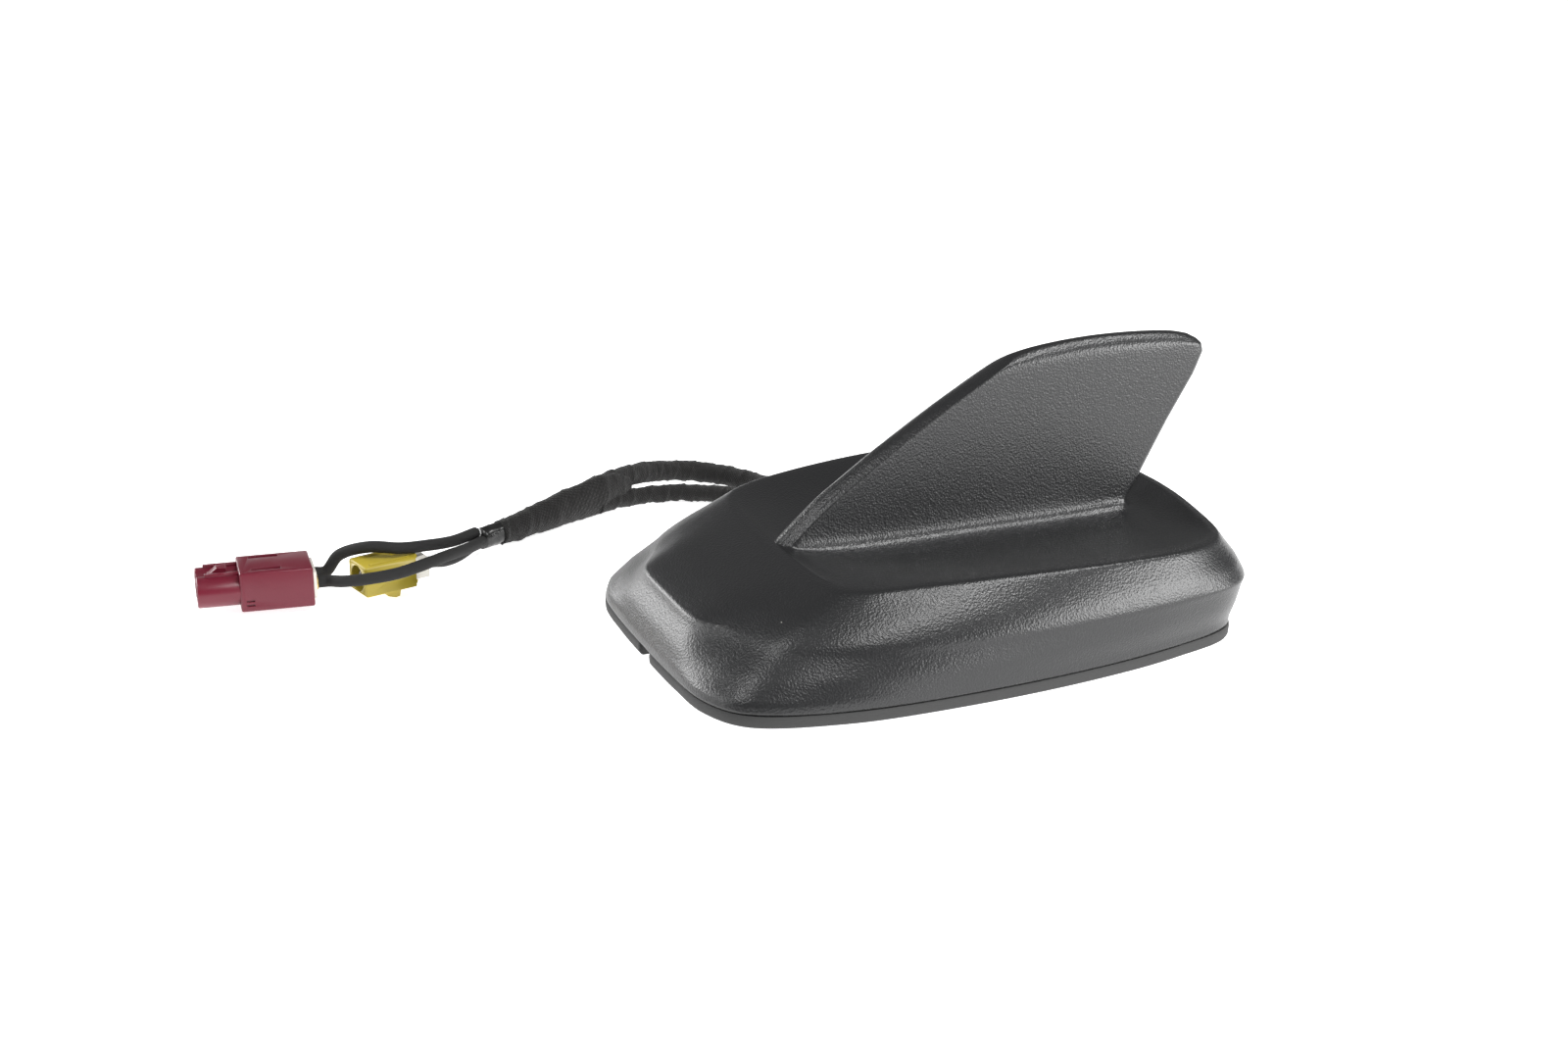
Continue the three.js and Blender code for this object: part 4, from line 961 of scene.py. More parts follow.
# ---------------------------------------------------------------- fin
@dataclass
class Fin:
    """The fin's side view and its thickness, in millimetres.

    Args:
        plan: The body's plan.
        foot_half: Half thickness at the foot.
        head_half: Half thickness under the crown's bevel.
        edge_half: Half thickness of the rounded leading edge.
        bevel: Width of the leading bevel.
        fillet: Reach of the fillet at the foot.
        lead_profile: Share of the half thickness at distances behind the leading edge.
        tail_profile: Share of the half thickness at distances before the trailing edge.
    """

    plan: Plan
    foot_half: float = 4.3
    head_half: float = 3.3
    edge_half: float = 1.35
    bevel: float = 7.6
    fillet: float = 3.2
    lead_profile: tuple[Pair, ...] = ((0, 0), (0.35, 0.55), (0.9, 0.85), (1.35, 1))
    tail_profile: tuple[Pair, ...] = (
        (3.4, 1), (2.5, 0.93), (1.6, 0.82), (0.9, 0.68), (0.4, 0.5), (0.1, 0.26), (0, 0),
    )

    def __post_init__(self) -> None:
        """Draws the four lines that bound the fin."""
        deck, dish = self.plan.deck, self.plan.dish
        self.foot = self._line(
            (-41.8, deck - 0.2), (-36, deck - 1.7), (-24, deck - dish + 0.2), (10, deck - dish),
            (40, deck - dish), (55, deck - dish + 0.4),
        )
        self.lead = self._line(
            (-41.8, deck - 0.2), (-34.5, 47.4), (-22, 56.4), (-8.8, 64.9), (3.7, 72.2), (14.5, 78),
            (20.8, 81.2),
        )
        self.top = self._line(
            (20.8, 81.2), (23.2, 82), (29.8, 83.2), (43, 84.2), (57, 84), (68, 83), (73, 81.8),
        )
        self.trail = self._line(
            (55, deck - dish + 0.4), (57.3, 42), (60.8, 47.8), (65.7, 57), (70.7, 65.4), (74.8, 72),
            (77, 76.4), (76.4, 79.6), (73, 81.8),
        )

    @staticmethod
    def _line(*pairs: Pair) -> Route:
        """Gives a line in the fin's middle plane from (x, z) pairs."""
        return Route(tuple(Vector((x, 0, z)) for x, z in pairs))

    def middle(self, u: float, s: float) -> Vector:
        """Gives a point of the fin's middle plane.

        Args:
            u: Nose to tail, 0 to 1.
            s: Foot to crown, 0 to 1.

        Returns:
            The point.
        """
        across = self.foot.at(u) * (1 - s) + self.top.at(u) * s
        up = self.lead.at(s) * (1 - u) + self.trail.at(s) * u
        corners = (
            self.foot.at(0) * ((1 - u) * (1 - s))
            + self.foot.at(1) * (u * (1 - s))
            + self.top.at(0) * ((1 - u) * s)
            + self.top.at(1) * (u * s)
        )
        return across + up - corners

    def section(self, k: int, chord: float, body: float) -> Pair:
        """Gives the fin's section at one station.

        Args:
            k: Station, 0 at the leading edge.
            chord: Length of the section.
            body: Half thickness of its flat part.

        Returns:
            Distance behind the leading edge, and half thickness there.
        """
        if k < 4:
            return self.lead_profile[k][0], self.edge_half * self.lead_profile[k][1]
        if k <= 9:
            f = (k - 3) / 6
            grown = self.edge_half + (body - self.edge_half) * min(1.0, 0.06 + 1.02 * f)
            return 1.35 + (self.bevel - 1.35) * f, grown
        if k <= 24:
            return self.bevel + (chord - self.bevel - 3.4) * (k - 9) / 15, body
        back, share = self.tail_profile[k - 24]
        return chord - back, body * share

    def ring(self, s: float, slim: float = 1.0, inner: float = 0.0) -> Loop:
        """Gives the loop round the fin at one height.

        Args:
            s: Foot to crown, 0 to 1.
            slim: Share of the usual thickness.
            inner: Where the fin's hollow starts, behind its edges; 0 for the outside.

        Returns:
            The loop.
        """
        chord = (self.middle(1, s) - self.middle(0, s)).length
        full = self.foot_half + (self.head_half - self.foot_half) * s
        half = []
        for k in range(self.plan.ring // 2 + 1):
            d, t = self.section(k, chord, full)
            t *= slim
            if inner > 0:
                d = inner + d / chord * (chord - 2 * inner)
                most = full * slim - self.plan.wall * 0.9
                t = min(most, max(0.0, min(d - inner, chord - inner - d) / 3))
            p = self.middle(d / chord, s)
            half.append(Vector((p.x, t, p.z)))
        near = [Vector((p.x, -p.y, p.z)) for p in half]
        return near + half[-2:0:-1]

    def spread(self, ring: Loop, reach: float, rise: float) -> Loop:
        """Moves a loop outwards and up, to make the fillet at the foot."""
        nose = self.foot.points[0].x
        moved = []
        for p, q in zip(ring, inset(ring, -reach)):
            near = min(1.0, max(0.12, (p.x - nose) / 14))
            moved.append(p.lerp(q, near) + Vector((0, 0, rise)))
        return moved


# ---------------------------------------------------------------- radome
@dataclass
class Radome:
    """The moulded cover with its fin.

    Args:
        plan: Shared outlines and heights.
        levels: Subdivision levels.
    """

    plan: Plan
    levels: int = 2
    posts: tuple[Pair, ...] = ((-50, 31), (-50, -31), (50, 34), (50, -34))

    def __post_init__(self) -> None:
        """Makes the outlines and the fin."""
        self.fin = Fin(self.plan)
        self.bottom = self.plan.outline(self.plan.bottom_half)
        self.deck = self.plan.outline(self.plan.deck_half)
        self.waist = self._eased(self.plan.outline(self.plan.waist_half))
        self.foot = self.fin.spread(self.fin.ring(0), self.fin.fillet + 0.8, 0)

    def _eased(self, waist: Loop) -> Loop:
        """Draws the waist in at the front corners, where the flank runs straight down."""
        made = []
        for i, (p, low, high) in enumerate(zip(waist, self.bottom, self.deck)):
            d = min(i, self.plan.ring - i)
            share = 0.42 * fade(d, 3, 5.5) * fade(d, 11, 7.5)
            made.append(p.lerp(low.lerp(high, 0.59), share))
        return made

    def _dish(self, t: float, start: Loop) -> Loop:
        """Gives a loop of the sunken deck between its edge and the fin's foot."""
        fall = 1 - (1 - t) ** 1.7
        made = []
        for p, q in zip(start, self.foot):
            edge = self.plan.edge_height(p) + 0.1
            made.append(Vector((p.x + (q.x - p.x) * t, p.y + (q.y - p.y) * t, edge + (q.z - edge) * fall)))
        return made

    def _nose_and_tail(self, strength: float) -> Callable[[int], float]:
        """Gives a crease that is strong at nose and tail and fades out along the flanks."""
        half = self.plan.ring // 2

        def at(station: int) -> float:
            """Gives the crease at a station."""
            d = min(station, self.plan.ring - 1 - station)
            front = fade(d, 7, 4) * strength
            rear = fade(d, half - 11, half - 7) * strength
            return max(front, rear)

        return at

    def outside(self) -> list[tuple[Loop, Callable[[int], float] | None]]:
        """Gives the loops of the outer face, rim to crown, each with its crease."""
        plan, fin = self.plan, self.fin
        rim, waist = plan.rim, plan.waist
        flank = mix(self.bottom, self.waist, 0.42)

        def height(share: float) -> Callable[[Vector], float]:
            """Gives heights a share of the way from waist to deck edge."""
            return lambda p: waist + (plan.edge_height(p) - waist) * share

        inner_deck = inset(self.deck, 1.5)
        loops: list[tuple[Loop, Callable[[int], float] | None]] = [
            (lift(self.bottom, rim), lambda _: 0.9),
            (lift(inset(mix(self.bottom, self.waist, 0.06), -0.1), rim + 2.2), None),
            (lift(inset(flank, -0.5), rim + (waist - rim) * 0.5), None),
            (lift(inset(mix(self.bottom, self.waist, 0.85), -0.25), rim + (waist - rim) * 0.86), None),
            (lift(inset(self.waist, -0.4), waist), self._nose_and_tail(0.8)),
            (lift(inset(mix(self.waist, self.deck, 0.1), -0.55), height(0.13)), None),
            (lift(inset(mix(self.waist, self.deck, 0.34), -0.8), height(0.4)), None),
            (lift(inset(mix(self.waist, self.deck, 0.72), -0.7), height(0.75)), None),
            (lift(inset(mix(self.waist, self.deck, 0.94), -0.7), height(0.95)), None),
            (lift(inset(self.deck, -0.5), lambda p: plan.edge_height(p) + 0.05), None),
            (lift(inner_deck, lambda p: plan.edge_height(p) + 0.1), None),
        ]
        loops += [(self._dish(t, inner_deck), None) for t in (0.18, 0.4, 0.7)]
        loops.append((self.foot, None))
        loops.append((fin.spread(fin.ring(0.014), fin.fillet * 0.55, 0.1), None))
        loops.append((fin.spread(fin.ring(0.042), fin.fillet * 0.2, 0.1), None))
        loops += [(fin.ring(s), None) for s in (0.08, 0.22, 0.42, 0.62, 0.78)]
        crown = ((0.865, 0.98), (0.92, 0.8), (0.965, 0.56), (0.988, 0.4), (1.0, 0.2))
        loops += [(fin.ring(s, slim), None) for s, slim in crown]
        return loops

    def inside(self) -> list[Loop]:
        """Gives the loops of the inner face, top of the hollow to the rim."""
        plan, fin = self.plan, self.fin
        rim, waist, wall = plan.rim, plan.waist, plan.wall
        hollow = inset(self.deck, 3)
        foot = fin.ring(0.02, 1, 4.6)

        def dish(t: float) -> Loop:
            """Gives a loop of the deck's underside."""
            fall = 1 - (1 - t) ** 2
            made = []
            for p, q, d, f in zip(hollow, foot, self.deck, self.foot):
                edge = plan.edge_height(d) - wall - 0.3
                low = f.z - wall - 0.2
                x, y = p.x + (q.x - p.x) * t, p.y + (q.y - p.y) * t
                made.append(Vector((x, y, edge + (low - edge) * fall)))
            return made

        up = [
            lift(inset(self.bottom, wall), rim),
            lift(inset(mix(self.bottom, self.waist, 0.45), wall), rim + (waist - rim) * 0.5),
            lift(inset(mix(self.waist, self.deck, 0.06), wall + 0.4), waist - 1.4),
            lift(
                inset(mix(self.waist, self.deck, 0.5), wall + 0.6),
                lambda p: waist + (plan.edge_height(p) - waist) * 0.36,
            ),
            dish(0),
            dish(0.35),
            dish(0.7),
            [p - Vector((0, 0, wall * 0.6)) for p in foot],
            fin.ring(0.2, 1, 4.4),
            fin.ring(0.5, 1, 4.4),
            fin.ring(0.86, 1, 4.4),
        ]
        return up[::-1]

    def build(self) -> bpy.types.Object:
        """Makes the cover as one closed skin; its screw posts are made apart."""
        inner = self.inside()
        skin = Skin(inner[0])
        skin.cap(skin.start)
        for ring in inner[1:]:
            skin.grow(ring)
        for edge in skin.edges:
            edge[skin.crease] = 0.9
        for ring, crease in self.outside():
            skin.grow(ring, crease)
        last = [Vector((p.x, 0, p.z + 0.05)) for p in self.fin.ring(1.0)]
        skin.grow(last)
        tip = [v for v in skin.bm.verts if v[skin.course] == skin.count]
        bmesh.ops.remove_doubles(skin.bm, verts=tip, dist=1e-4)
        bmesh.ops.remove_doubles(skin.bm, verts=skin.bm.verts, dist=1e-5)
        bmesh.ops.recalc_face_normals(skin.bm, faces=skin.bm.faces)
        made = settle(skin.bm, "radome_cover", smooth=None)
        step = made.modifiers.new("smooth_skin", "SUBSURF")
        step.levels = self.levels
        step.render_levels = self.levels
        step.use_creases = True
        return made

    def build_posts(self) -> bpy.types.Object:
        """Makes the four screw posts that stand under the cover."""
        foot = self.plan.rim + 2.3
        tubes = []
        for x, y in self.posts:
            top = self.plan.waist + 4.4 if x < 0 else self.plan.deck - 2.5
            tube = new_rod(3.0, foot, top - 0.6, (x, y), axis="Z", sides=32)
            low = min(tube.faces, key=lambda f: f.calc_center_median().z)
            bmesh.ops.inset_region(tube, faces=[low], thickness=1.45)
            made = bmesh.ops.extrude_face_region(tube, geom=[low])["geom"]
            verts = [g for g in made if isinstance(g, bmesh.types.BMVert)]
            bmesh.ops.translate(tube, vec=(0, 0, 8), verts=verts)
            bmesh.ops.delete(tube, geom=[low], context="FACES_ONLY")
            tubes.append(tube)
        return settle(gather(*tubes), "radome_posts")

    def dress(self) -> None:
        """Builds the cover and its posts and gives them their finish."""
        finish_piece(self.build(), RADOME, "antenna", ["radome"])
        finish_piece(self.build_posts(), RADOME, "antenna")


# ---------------------------------------------------------------- seal and gasket
@dataclass
class Seal:
    """The rubber seal under the radome's rim, with its drain notch at the nose.

    Args:
        plan: Shared outlines and heights.
        width: Outer edge to the base plate.
        notch: Width of the drain notch.
        notch_height: Height of the notch.
        count: Points round the seal.
    """

    plan: Plan
    width: float = 6.5
    notch: float = 7.0
    notch_height: float = 3.25
    count: int = 240

    def build(self) -> bpy.types.Object:
        """Makes the seal."""
        plan = self.plan
        edge = plan.outline(plan.bottom_half, self.count)
        low, top = plan.stand, plan.stand + plan.seal
        loops = [
            lift(inset(edge, self.width), low),
            lift(inset(edge, 0.9), low),
            lift(inset(edge, 0.4), low + 0.25),
            lift(inset(edge, 0.12), low + 0.8),
            lift(edge, top - 1.0),
            lift(inset(edge, 0.04), top - 0.35),
            lift(inset(edge, 0.3), top),
            lift(inset(edge, self.width), top),
        ]
        skin = Skin(loops[0])
        for ring in loops[1:]:
            skin.grow(ring)
        skin.grow(loops[0])
        bmesh.ops.remove_doubles(skin.bm, verts=skin.bm.verts, dist=1e-4)
        made = settle(skin.bm, "seal_ring", smooth=50.0)
        nose = plan.bottom_half[0][0]
        middle = (nose + 2.4, 0, low + self.notch_height - plan.seal)
        cutter = new_block((9, self.notch, plan.seal * 2), middle)
        carve(made, cutter)
        return made

    def dress(self) -> None:
        """Builds the seal and gives it its finish."""
        finish_piece(self.build(), SEAL, "antenna", ["perimeter_seal"])


@dataclass
class Underside:
    """The foam gasket round the roof hole and the moulded cable boot.

    Args:
        plan: Shared heights; not used.
        boot: Middle of the boot in plan.
    """

    plan: Plan
    boot: Pair = (6.0, 26.8)

    @staticmethod
    def _upright(bm: bmesh.types.BMesh, width: float, segments: int = 4) -> None:
        """Rounds the upright edges of a block."""
        edges = [e for e in bm.edges if abs(e.verts[0].co.z - e.verts[1].co.z) > 1e-4]
        bevel_edges(bm, edges, width, segments)

    def build_gasket(self) -> bpy.types.Object:
        """Makes the flat foam frame from its node's own box."""
        low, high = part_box("hole_gasket")
        size, middle = (high - low) / MM, (high + low) / 2 / MM
        frame = new_block(tuple(size), tuple(middle))
        self._upright(frame, 8, 8)
        made = settle(frame, "gasket_foam")
        inner = new_block((size.x - 8, size.y - 8, 4), tuple(middle))
        self._upright(inner, 5, 8)
        carve(made, inner)
        round_edges(made, 0.15)
        return made

    def build_boot(self) -> bpy.types.Object:
        """Makes the rubber boot where the cables come out."""
        x, y = self.boot
        low = new_block((19, 14, 12.5), (x, y, 8.45))
        self._upright(low, 2.5, 6)
        flat = [e for e in low.edges if e.verts[0].co.z < 3 and e.verts[1].co.z < 3]
        bevel_edges(low, flat, 0.9, 4)
        neck = new_block((15, 8, 6.2), (x, y, 17.6))
        self._upright(neck, 1.8, 6)
        collars = [
            new_rod(4.0, 0, 1, (0, 0), axis="Z", sides=40, chamfer=0.3),
            new_rod(3.4, 0, 1, (0, 0), axis="Z", sides=40, chamfer=0.3),
        ]
        for collar, (cx, cz) in zip(collars, ((10.4, 6.2), (1.4, 5.6))):
            turn = Matrix.Translation((cx, y + 6.4, cz)) @ Matrix.Rotation(-math.pi / 2, 4, "X")
            bmesh.ops.transform(collar, matrix=turn, verts=collar.verts)
        return settle(gather(low, neck, *collars), "boot_moulding")

    def dress(self) -> None:
        """Builds both pieces and gives them their finishes."""
        finish_piece(self.build_gasket(), FOAM, "antenna", ["hole_gasket"])
        finish_piece(self.build_boot(), SEAL, "antenna", ["cable_boot"])


# ---------------------------------------------------------------- taped cables
@dataclass
class Wrap:
    """A cable wound with fleece tape.

    Args:
        name: The piece's name.
        node: The frame's node that it stands for.
        stops: Way points as (x, y, z, width, height), in millimetres.
        spacing: Distance between loops of the skin.
        sides: Points round it.
        pitch: Distance between turns of the tape.
        seed: Picks its crinkles.
        lap: Height of a turn's edge over the turn before it, in millimetres.
        fold: Height of the long folds.
        lump: Height of the lumps where cables cross under the tape.
        fine: Height of the small creases.
        settle_in: How far the whole skin is drawn in for these to stand on.
        ground: Lowest that any point may lie.
    """

    name: str
    node: str
    stops: tuple[Place, ...]
    spacing: float = 0.55
    sides: int = 36
    pitch: float = 9.0
    seed: float = 0.0
    lap: float = 0.34
    fold: float = 0.2
    lump: float = 0.3
    fine: float = 0.1
    settle_in: float = 0.16
    ground: float = 0.05
    route: Route = field(init=False)

    def __post_init__(self) -> None:
        """Draws the line through the way points."""
        self.route = Route(tuple(Vector(s[:3]) for s in self.stops))

    def girth(self, t: float) -> Pair:
        """Gives the width and height at a place along the cable."""
        last = len(self.stops) - 1
        k = min(int(t * last), last - 1)
        f = t * last - k
        a, b = self.stops[k], self.stops[k + 1]
        return a[3] + (b[3] - a[3]) * f, a[4] + (b[4] - a[4]) * f

    def crinkle(self, travel: float, angle: float, place: Vector) -> float:
        """Gives how far the tape stands out at a point.

        Args:
            travel: Distance along the cable.
            angle: Angle round it.
            place: The point itself, for the folds.

        Returns:
            The height, in millimetres.
        """
        turn = (travel / self.pitch + angle / math.tau + self.seed) % 1.0
        lap = self.lap * (1 - turn) ** 3 + 0.1 * fade(turn, 0.9, 1.0)
        folds = noise.noise(Vector((travel * 0.55, angle * 0.7, self.seed * 7))) * self.fold
        shifted = place * 0.42 + Vector((self.seed * 11, 0, 0))
        lumps = noise.noise(shifted) * self.lump
        creases = noise.noise(place * 1.7) * self.fine
        return lap + folds + lumps + creases - self.settle_in

    def build(self) -> bpy.types.Object:
        """Makes the wound skin."""
        length = self.route.length()
        steps = max(8, int(length / self.spacing))
        skin: Skin | None = None
        for i in range(steps + 1):
            t = i / steps
            centre, run = self.route.at(t), self.route.along(t)
            side = Vector((-run.y, run.x, 0)).normalized()
            rise = run.cross(side).normalized()
            w, h = self.girth(t)
            travel = t * length
            ring = []
            for s in range(self.sides):
                a = s / self.sides * math.tau
                out = side * (math.cos(a) * w / 2) + rise * (math.sin(a) * h / 2)
                p = centre + out
                p += out.normalized() * self.crinkle(travel, a, p)
                p.z = max(p.z, self.ground)
                ring.append(p)
            if skin is None:
                skin = Skin(ring)
            else:
                skin.grow(ring)
        skin.wrap_map((w + h) / 2 * math.pi, length)
        skin.cap(skin.start)
        skin.cap(skin.edges)
        return settle(skin.bm, self.name, smooth=None)

    def dress(self, declare: bool, finish: Finish = TAPE) -> None:
        """Args:
            declare: True where the piece is a free cable of its own; then its path and length are worked out,
                and nothing uses them.
            finish: Its finish.
        """
        piece = self.build()
        finish_piece(piece, finish, "antenna", [self.node])
        if declare:
            path = [p * MM for p in self.route.sampled(160)]
            self.route.length() * MM


@dataclass
class Coax:
    """One bare coax run from the sleeve to its plug.

    Args:
        name: The piece's name.
        node: The frame's node that it stands for.
        points: Way points from the plug back to the sleeve, in millimetres.
        plug: The pieces at its far end; not used.
        diameter: Its jacket.
        samples: Points along the run.
        roundness: Steps in its round section.
    """

    name: str
    node: str
    points: tuple[Triple | Vector, ...]
    plug: tuple[str, ...]
    diameter: float = 3.3
    samples: int = 90
    roundness: int = 7

    @property
    def route(self) -> Route:
        """The run's middle line, from the sleeve to the plug."""
        return Route(tuple(Vector(p) for p in self.points[::-1]))

    def build(self) -> bpy.types.Object:
        """Makes the run as a curve."""
        run = self.route.sampled(self.samples)
        shape = bpy.data.curves.new(self.name, "CURVE")
        shape.dimensions = "3D"
        shape.bevel_depth = self.diameter / 2 * MM
        shape.bevel_resolution = self.roundness
        shape.use_fill_caps = True
        thread = shape.splines.new("POLY")
        thread.points.add(len(run) - 1)
        for point, p in zip(thread.points, run):
            point.co = (*(p * MM), 1)
        made = bpy.data.objects.new(self.name, shape)
        bpy.context.scene.collection.objects.link(made)
        return made

    def dress(self) -> None:
        piece = self.build()
        finish_piece(piece, JACKET, "antenna", [self.node])
        line = self.route
        tuple(line.at(0) * MM)
        line.length() * MM


@dataclass
class TwinPlug:
    """The bordeaux double plug.

    Args:
        seat: Where it lies.
        pitch: Distance between its barrels.
        barrel: Barrel diameter.
        length: Length of the body.
        height: Height of the body.
        reach: How far the barrels stand out of the body.
        lock: How deep the lock sits in the body.
        wall: Wall round the lock, both sides together.
        bore: Radius of the barrels' bore.
        cable: Radius of the lock's cable holes.
    """

    seat: Seat = Seat(-146.9, 107.2, 6.35, -7.5, -5)
    pitch: float = 9.6
    barrel: float = 8.5
    length: float = 19.8
    height: float = 10.9
    reach: float = 11.4
    lock: float = 5.0
    wall: float = 2.4
    bore: float = 3.0
    cable: float = 2.35

    @property
    def width(self) -> float:
        """Width of the body across both barrels."""
        return self.pitch + 9

    @property
    def front(self) -> float:
        """Where the body's front face stands."""
        return -self.length / 2

    @property
    def back(self) -> float:
        """Where the lock's rear face stands."""
        return self.length / 2 + 0.9

    @property
    def contact_back(self) -> float:
        """Where the contacts end."""
        return self.length / 2 - self.lock - 0.3

    def out(self, x: float, side: int) -> Vector:
        """Gives a point on one barrel's axis, in the frame."""
        return self.seat.matrix() @ Vector((x, side * self.pitch / 2, 0))

    def build_housing(self) -> bpy.types.Object:
        """Makes the housing: body, barrels, ribs, lock ramp, windows and marks."""
        place = self.seat.matrix()
        front, tip = self.front, self.front - self.reach
        whole = new_block((self.length, self.width, self.height), (0, 0, 0), 0.55, 3)
        body = settle(whole, "twin_housing", place)
        for side in (-1, 1):
            slot = new_block((8, 2.0, 4.6), (front + 7.4, side * 6.2 + 0.5, self.height / 2))
            carve(body, slot, place)
        for z in (-self.height / 2 + 1.8, -self.height / 2 + 3):
            carve(body, new_block((2.2, 1, 0.5), (front + 2.6, -self.width / 2, z)), place)
        room = (self.lock * 2, self.width - self.wall, self.height - 2.8)
        carve(body, new_block(room, (self.length / 2, 0, 0)), place)
        half, top = front - self.reach / 2, self.barrel / 2
        for side in (-1, 1):
            y = side * self.pitch / 2
            tube = new_rod(self.barrel / 2, tip, front + 1, (y, 0), sides=56, chamfer=0.45)
            rib = new_block((self.reach - 2.2, 1.3, 1.6), (half + 1.2, y, top), 0.12, 2)
            spout = settle(tube, "spout", place)
            carve(spout, new_rod(self.bore, tip - 1, front + 0.8, (y, 0), sides=40), place)
            join_to(body, spout, settle(rib, "rib", place))
        web = new_block((self.reach - 3, 3.5, 3), (half + 1.6, 0, 0), 0.2, 2)
        slope = [(-3.4, 0), (0, 2.5), (2.6, 2.5), (2.6, 0)]
        ramp = new_prism(slope, -1.7, 1.7, (front - 5.6, 0, top - 1.2))
        spine = new_block((7.6, 3.2, 3.4), (front - 4, 0, top - 2.6), 0.15, 2)
        join_to(body, *[settle(part, "part", place) for part in (web, ramp, spine)])
        round_edges(body, 0.12)
        return body

    def build_lock(self) -> bpy.types.Object:
        """Makes the white lock at the back."""
        place = self.seat.matrix()
        deep = self.lock + 0.6
        block = new_block((deep, self.width - 3, self.height - 3.4), (self.back - deep / 2, 0, 0), 0.25, 2)
        made = settle(block, "twin_lock", place)
        for side in (-1, 1):
            hole = new_rod(self.cable, 0, self.back + 1, (side * self.pitch / 2, 0), sides=32)
            carve(made, hole, place)
        return made

    def dress(self) -> None:
        """Builds both pieces and gives them their finishes."""
        finish_piece(self.build_housing(), VIOLET, "antenna", ["double_housing"])
        finish_piece(self.build_lock(), WHITE, "twin_lock", ["double_lock"])


@dataclass
class SoloPlug:
    """The ochre single plug.

    Args:
        seat: Where it lies.
        length: Length of the body.
        width: Width of the body.
        height: Height of the body.
        lock: How deep the lock sits in the body.
        wall: Wall round the lock, both sides together.
        bore: Radius of the front's bore.
        cable: Radius of the lock's cable hole.
    """

    seat: Seat = Seat(-117.4, 101.2, 6.9, 13.3, 0)
    length: float = 17.2
    width: float = 10.4
    height: float = 8.8
    lock: float = 5.0
    wall: float = 2.4
    bore: float = 3.7
    cable: float = 2.35

    @property
    def back(self) -> float:
        """Where the lock's rear face stands."""
        return self.length / 2 + 3.2

    @property
    def contact_back(self) -> float:
        """Where the contact ends."""
        return self.length / 2 - self.lock - 0.3

    def out(self, x: float, rise: float = 0.0) -> Vector:
        """Gives a point on the plug's axis, in the frame."""
        return self.seat.matrix() @ Vector((x, 0, rise))

    def build_housing(self) -> bpy.types.Object:
        """Makes the housing: hood, latch bump, slots and rear cut-out."""
        place = self.seat.matrix()
        end = self.length / 2
        whole = new_block((self.length, self.width, self.height), (0, 0, 0), 0.7, 3)
        hood = settle(whole, "solo_housing", place)
        room = (self.lock * 2, self.width - self.wall, self.height - self.wall)
        cuts = [
            new_rod(self.bore, -end - 1, -end + 8.6, (0, 0), sides=48),
            new_rod(2.2, 0, end + 1, (0, 0), sides=32),
            new_block(room, (end, 0, 0)),
            new_rod(3.0, -self.height, self.height, (end + 1.2, -self.width / 2), axis="Z", sides=40),
            new_block((3, 2.4, 2), (3.4, 1.2, self.height / 2)),
            new_block((2, 1, 0.5), (2.2, -self.width / 2, 0.6)),
        ]
        for cutter in cuts:
            carve(hood, cutter, place)
        half = self.width / 2 - 1.4
        bump = [(-2.2, 0), (-1.4, -1.6), (0.9, -2.4), (2.2, -2.2), (2.6, 0)]
        latch = settle(new_prism(bump, -half, half, (0, 0, -self.height / 2 + 0.2)), "latch", place)
        rails = [
            settle(new_block((self.length - 5, 0.9, 0.7), (-0.5, y, self.height / 2), 0.12), "rail", place)
            for y in (-3.6, 3.6)
        ]
        join_to(hood, latch, *rails)
        round_edges(hood, 0.12)
        return hood

    def build_lock(self) -> bpy.types.Object:
        """Makes the white lock at the back."""
        place = self.seat.matrix()
        start = self.length / 2 - self.lock + 0.3
        deep = self.lock + 2.9
        block = new_block((deep, self.width - 3, self.height - 3), (start + deep / 2, 0, 0), 0.25, 2)
        made = settle(block, "solo_lock", place)
        carve(made, new_rod(self.cable, -2, self.back + 1, (0, 0), sides=32), place)
        corner = (self.length / 2 + 1.2 - 4.4, -self.width / 2 - 1.2)
        carve(made, new_rod(3.3, -self.height, self.height, corner, axis="Z", sides=40), place)
        return made

    def dress(self) -> None:
        """Builds both pieces and gives them their finishes."""
        finish_piece(self.build_housing(), YELLOW, "antenna", ["single_housing"])
        finish_piece(self.build_lock(), WHITE, "solo_lock", ["single_lock"])


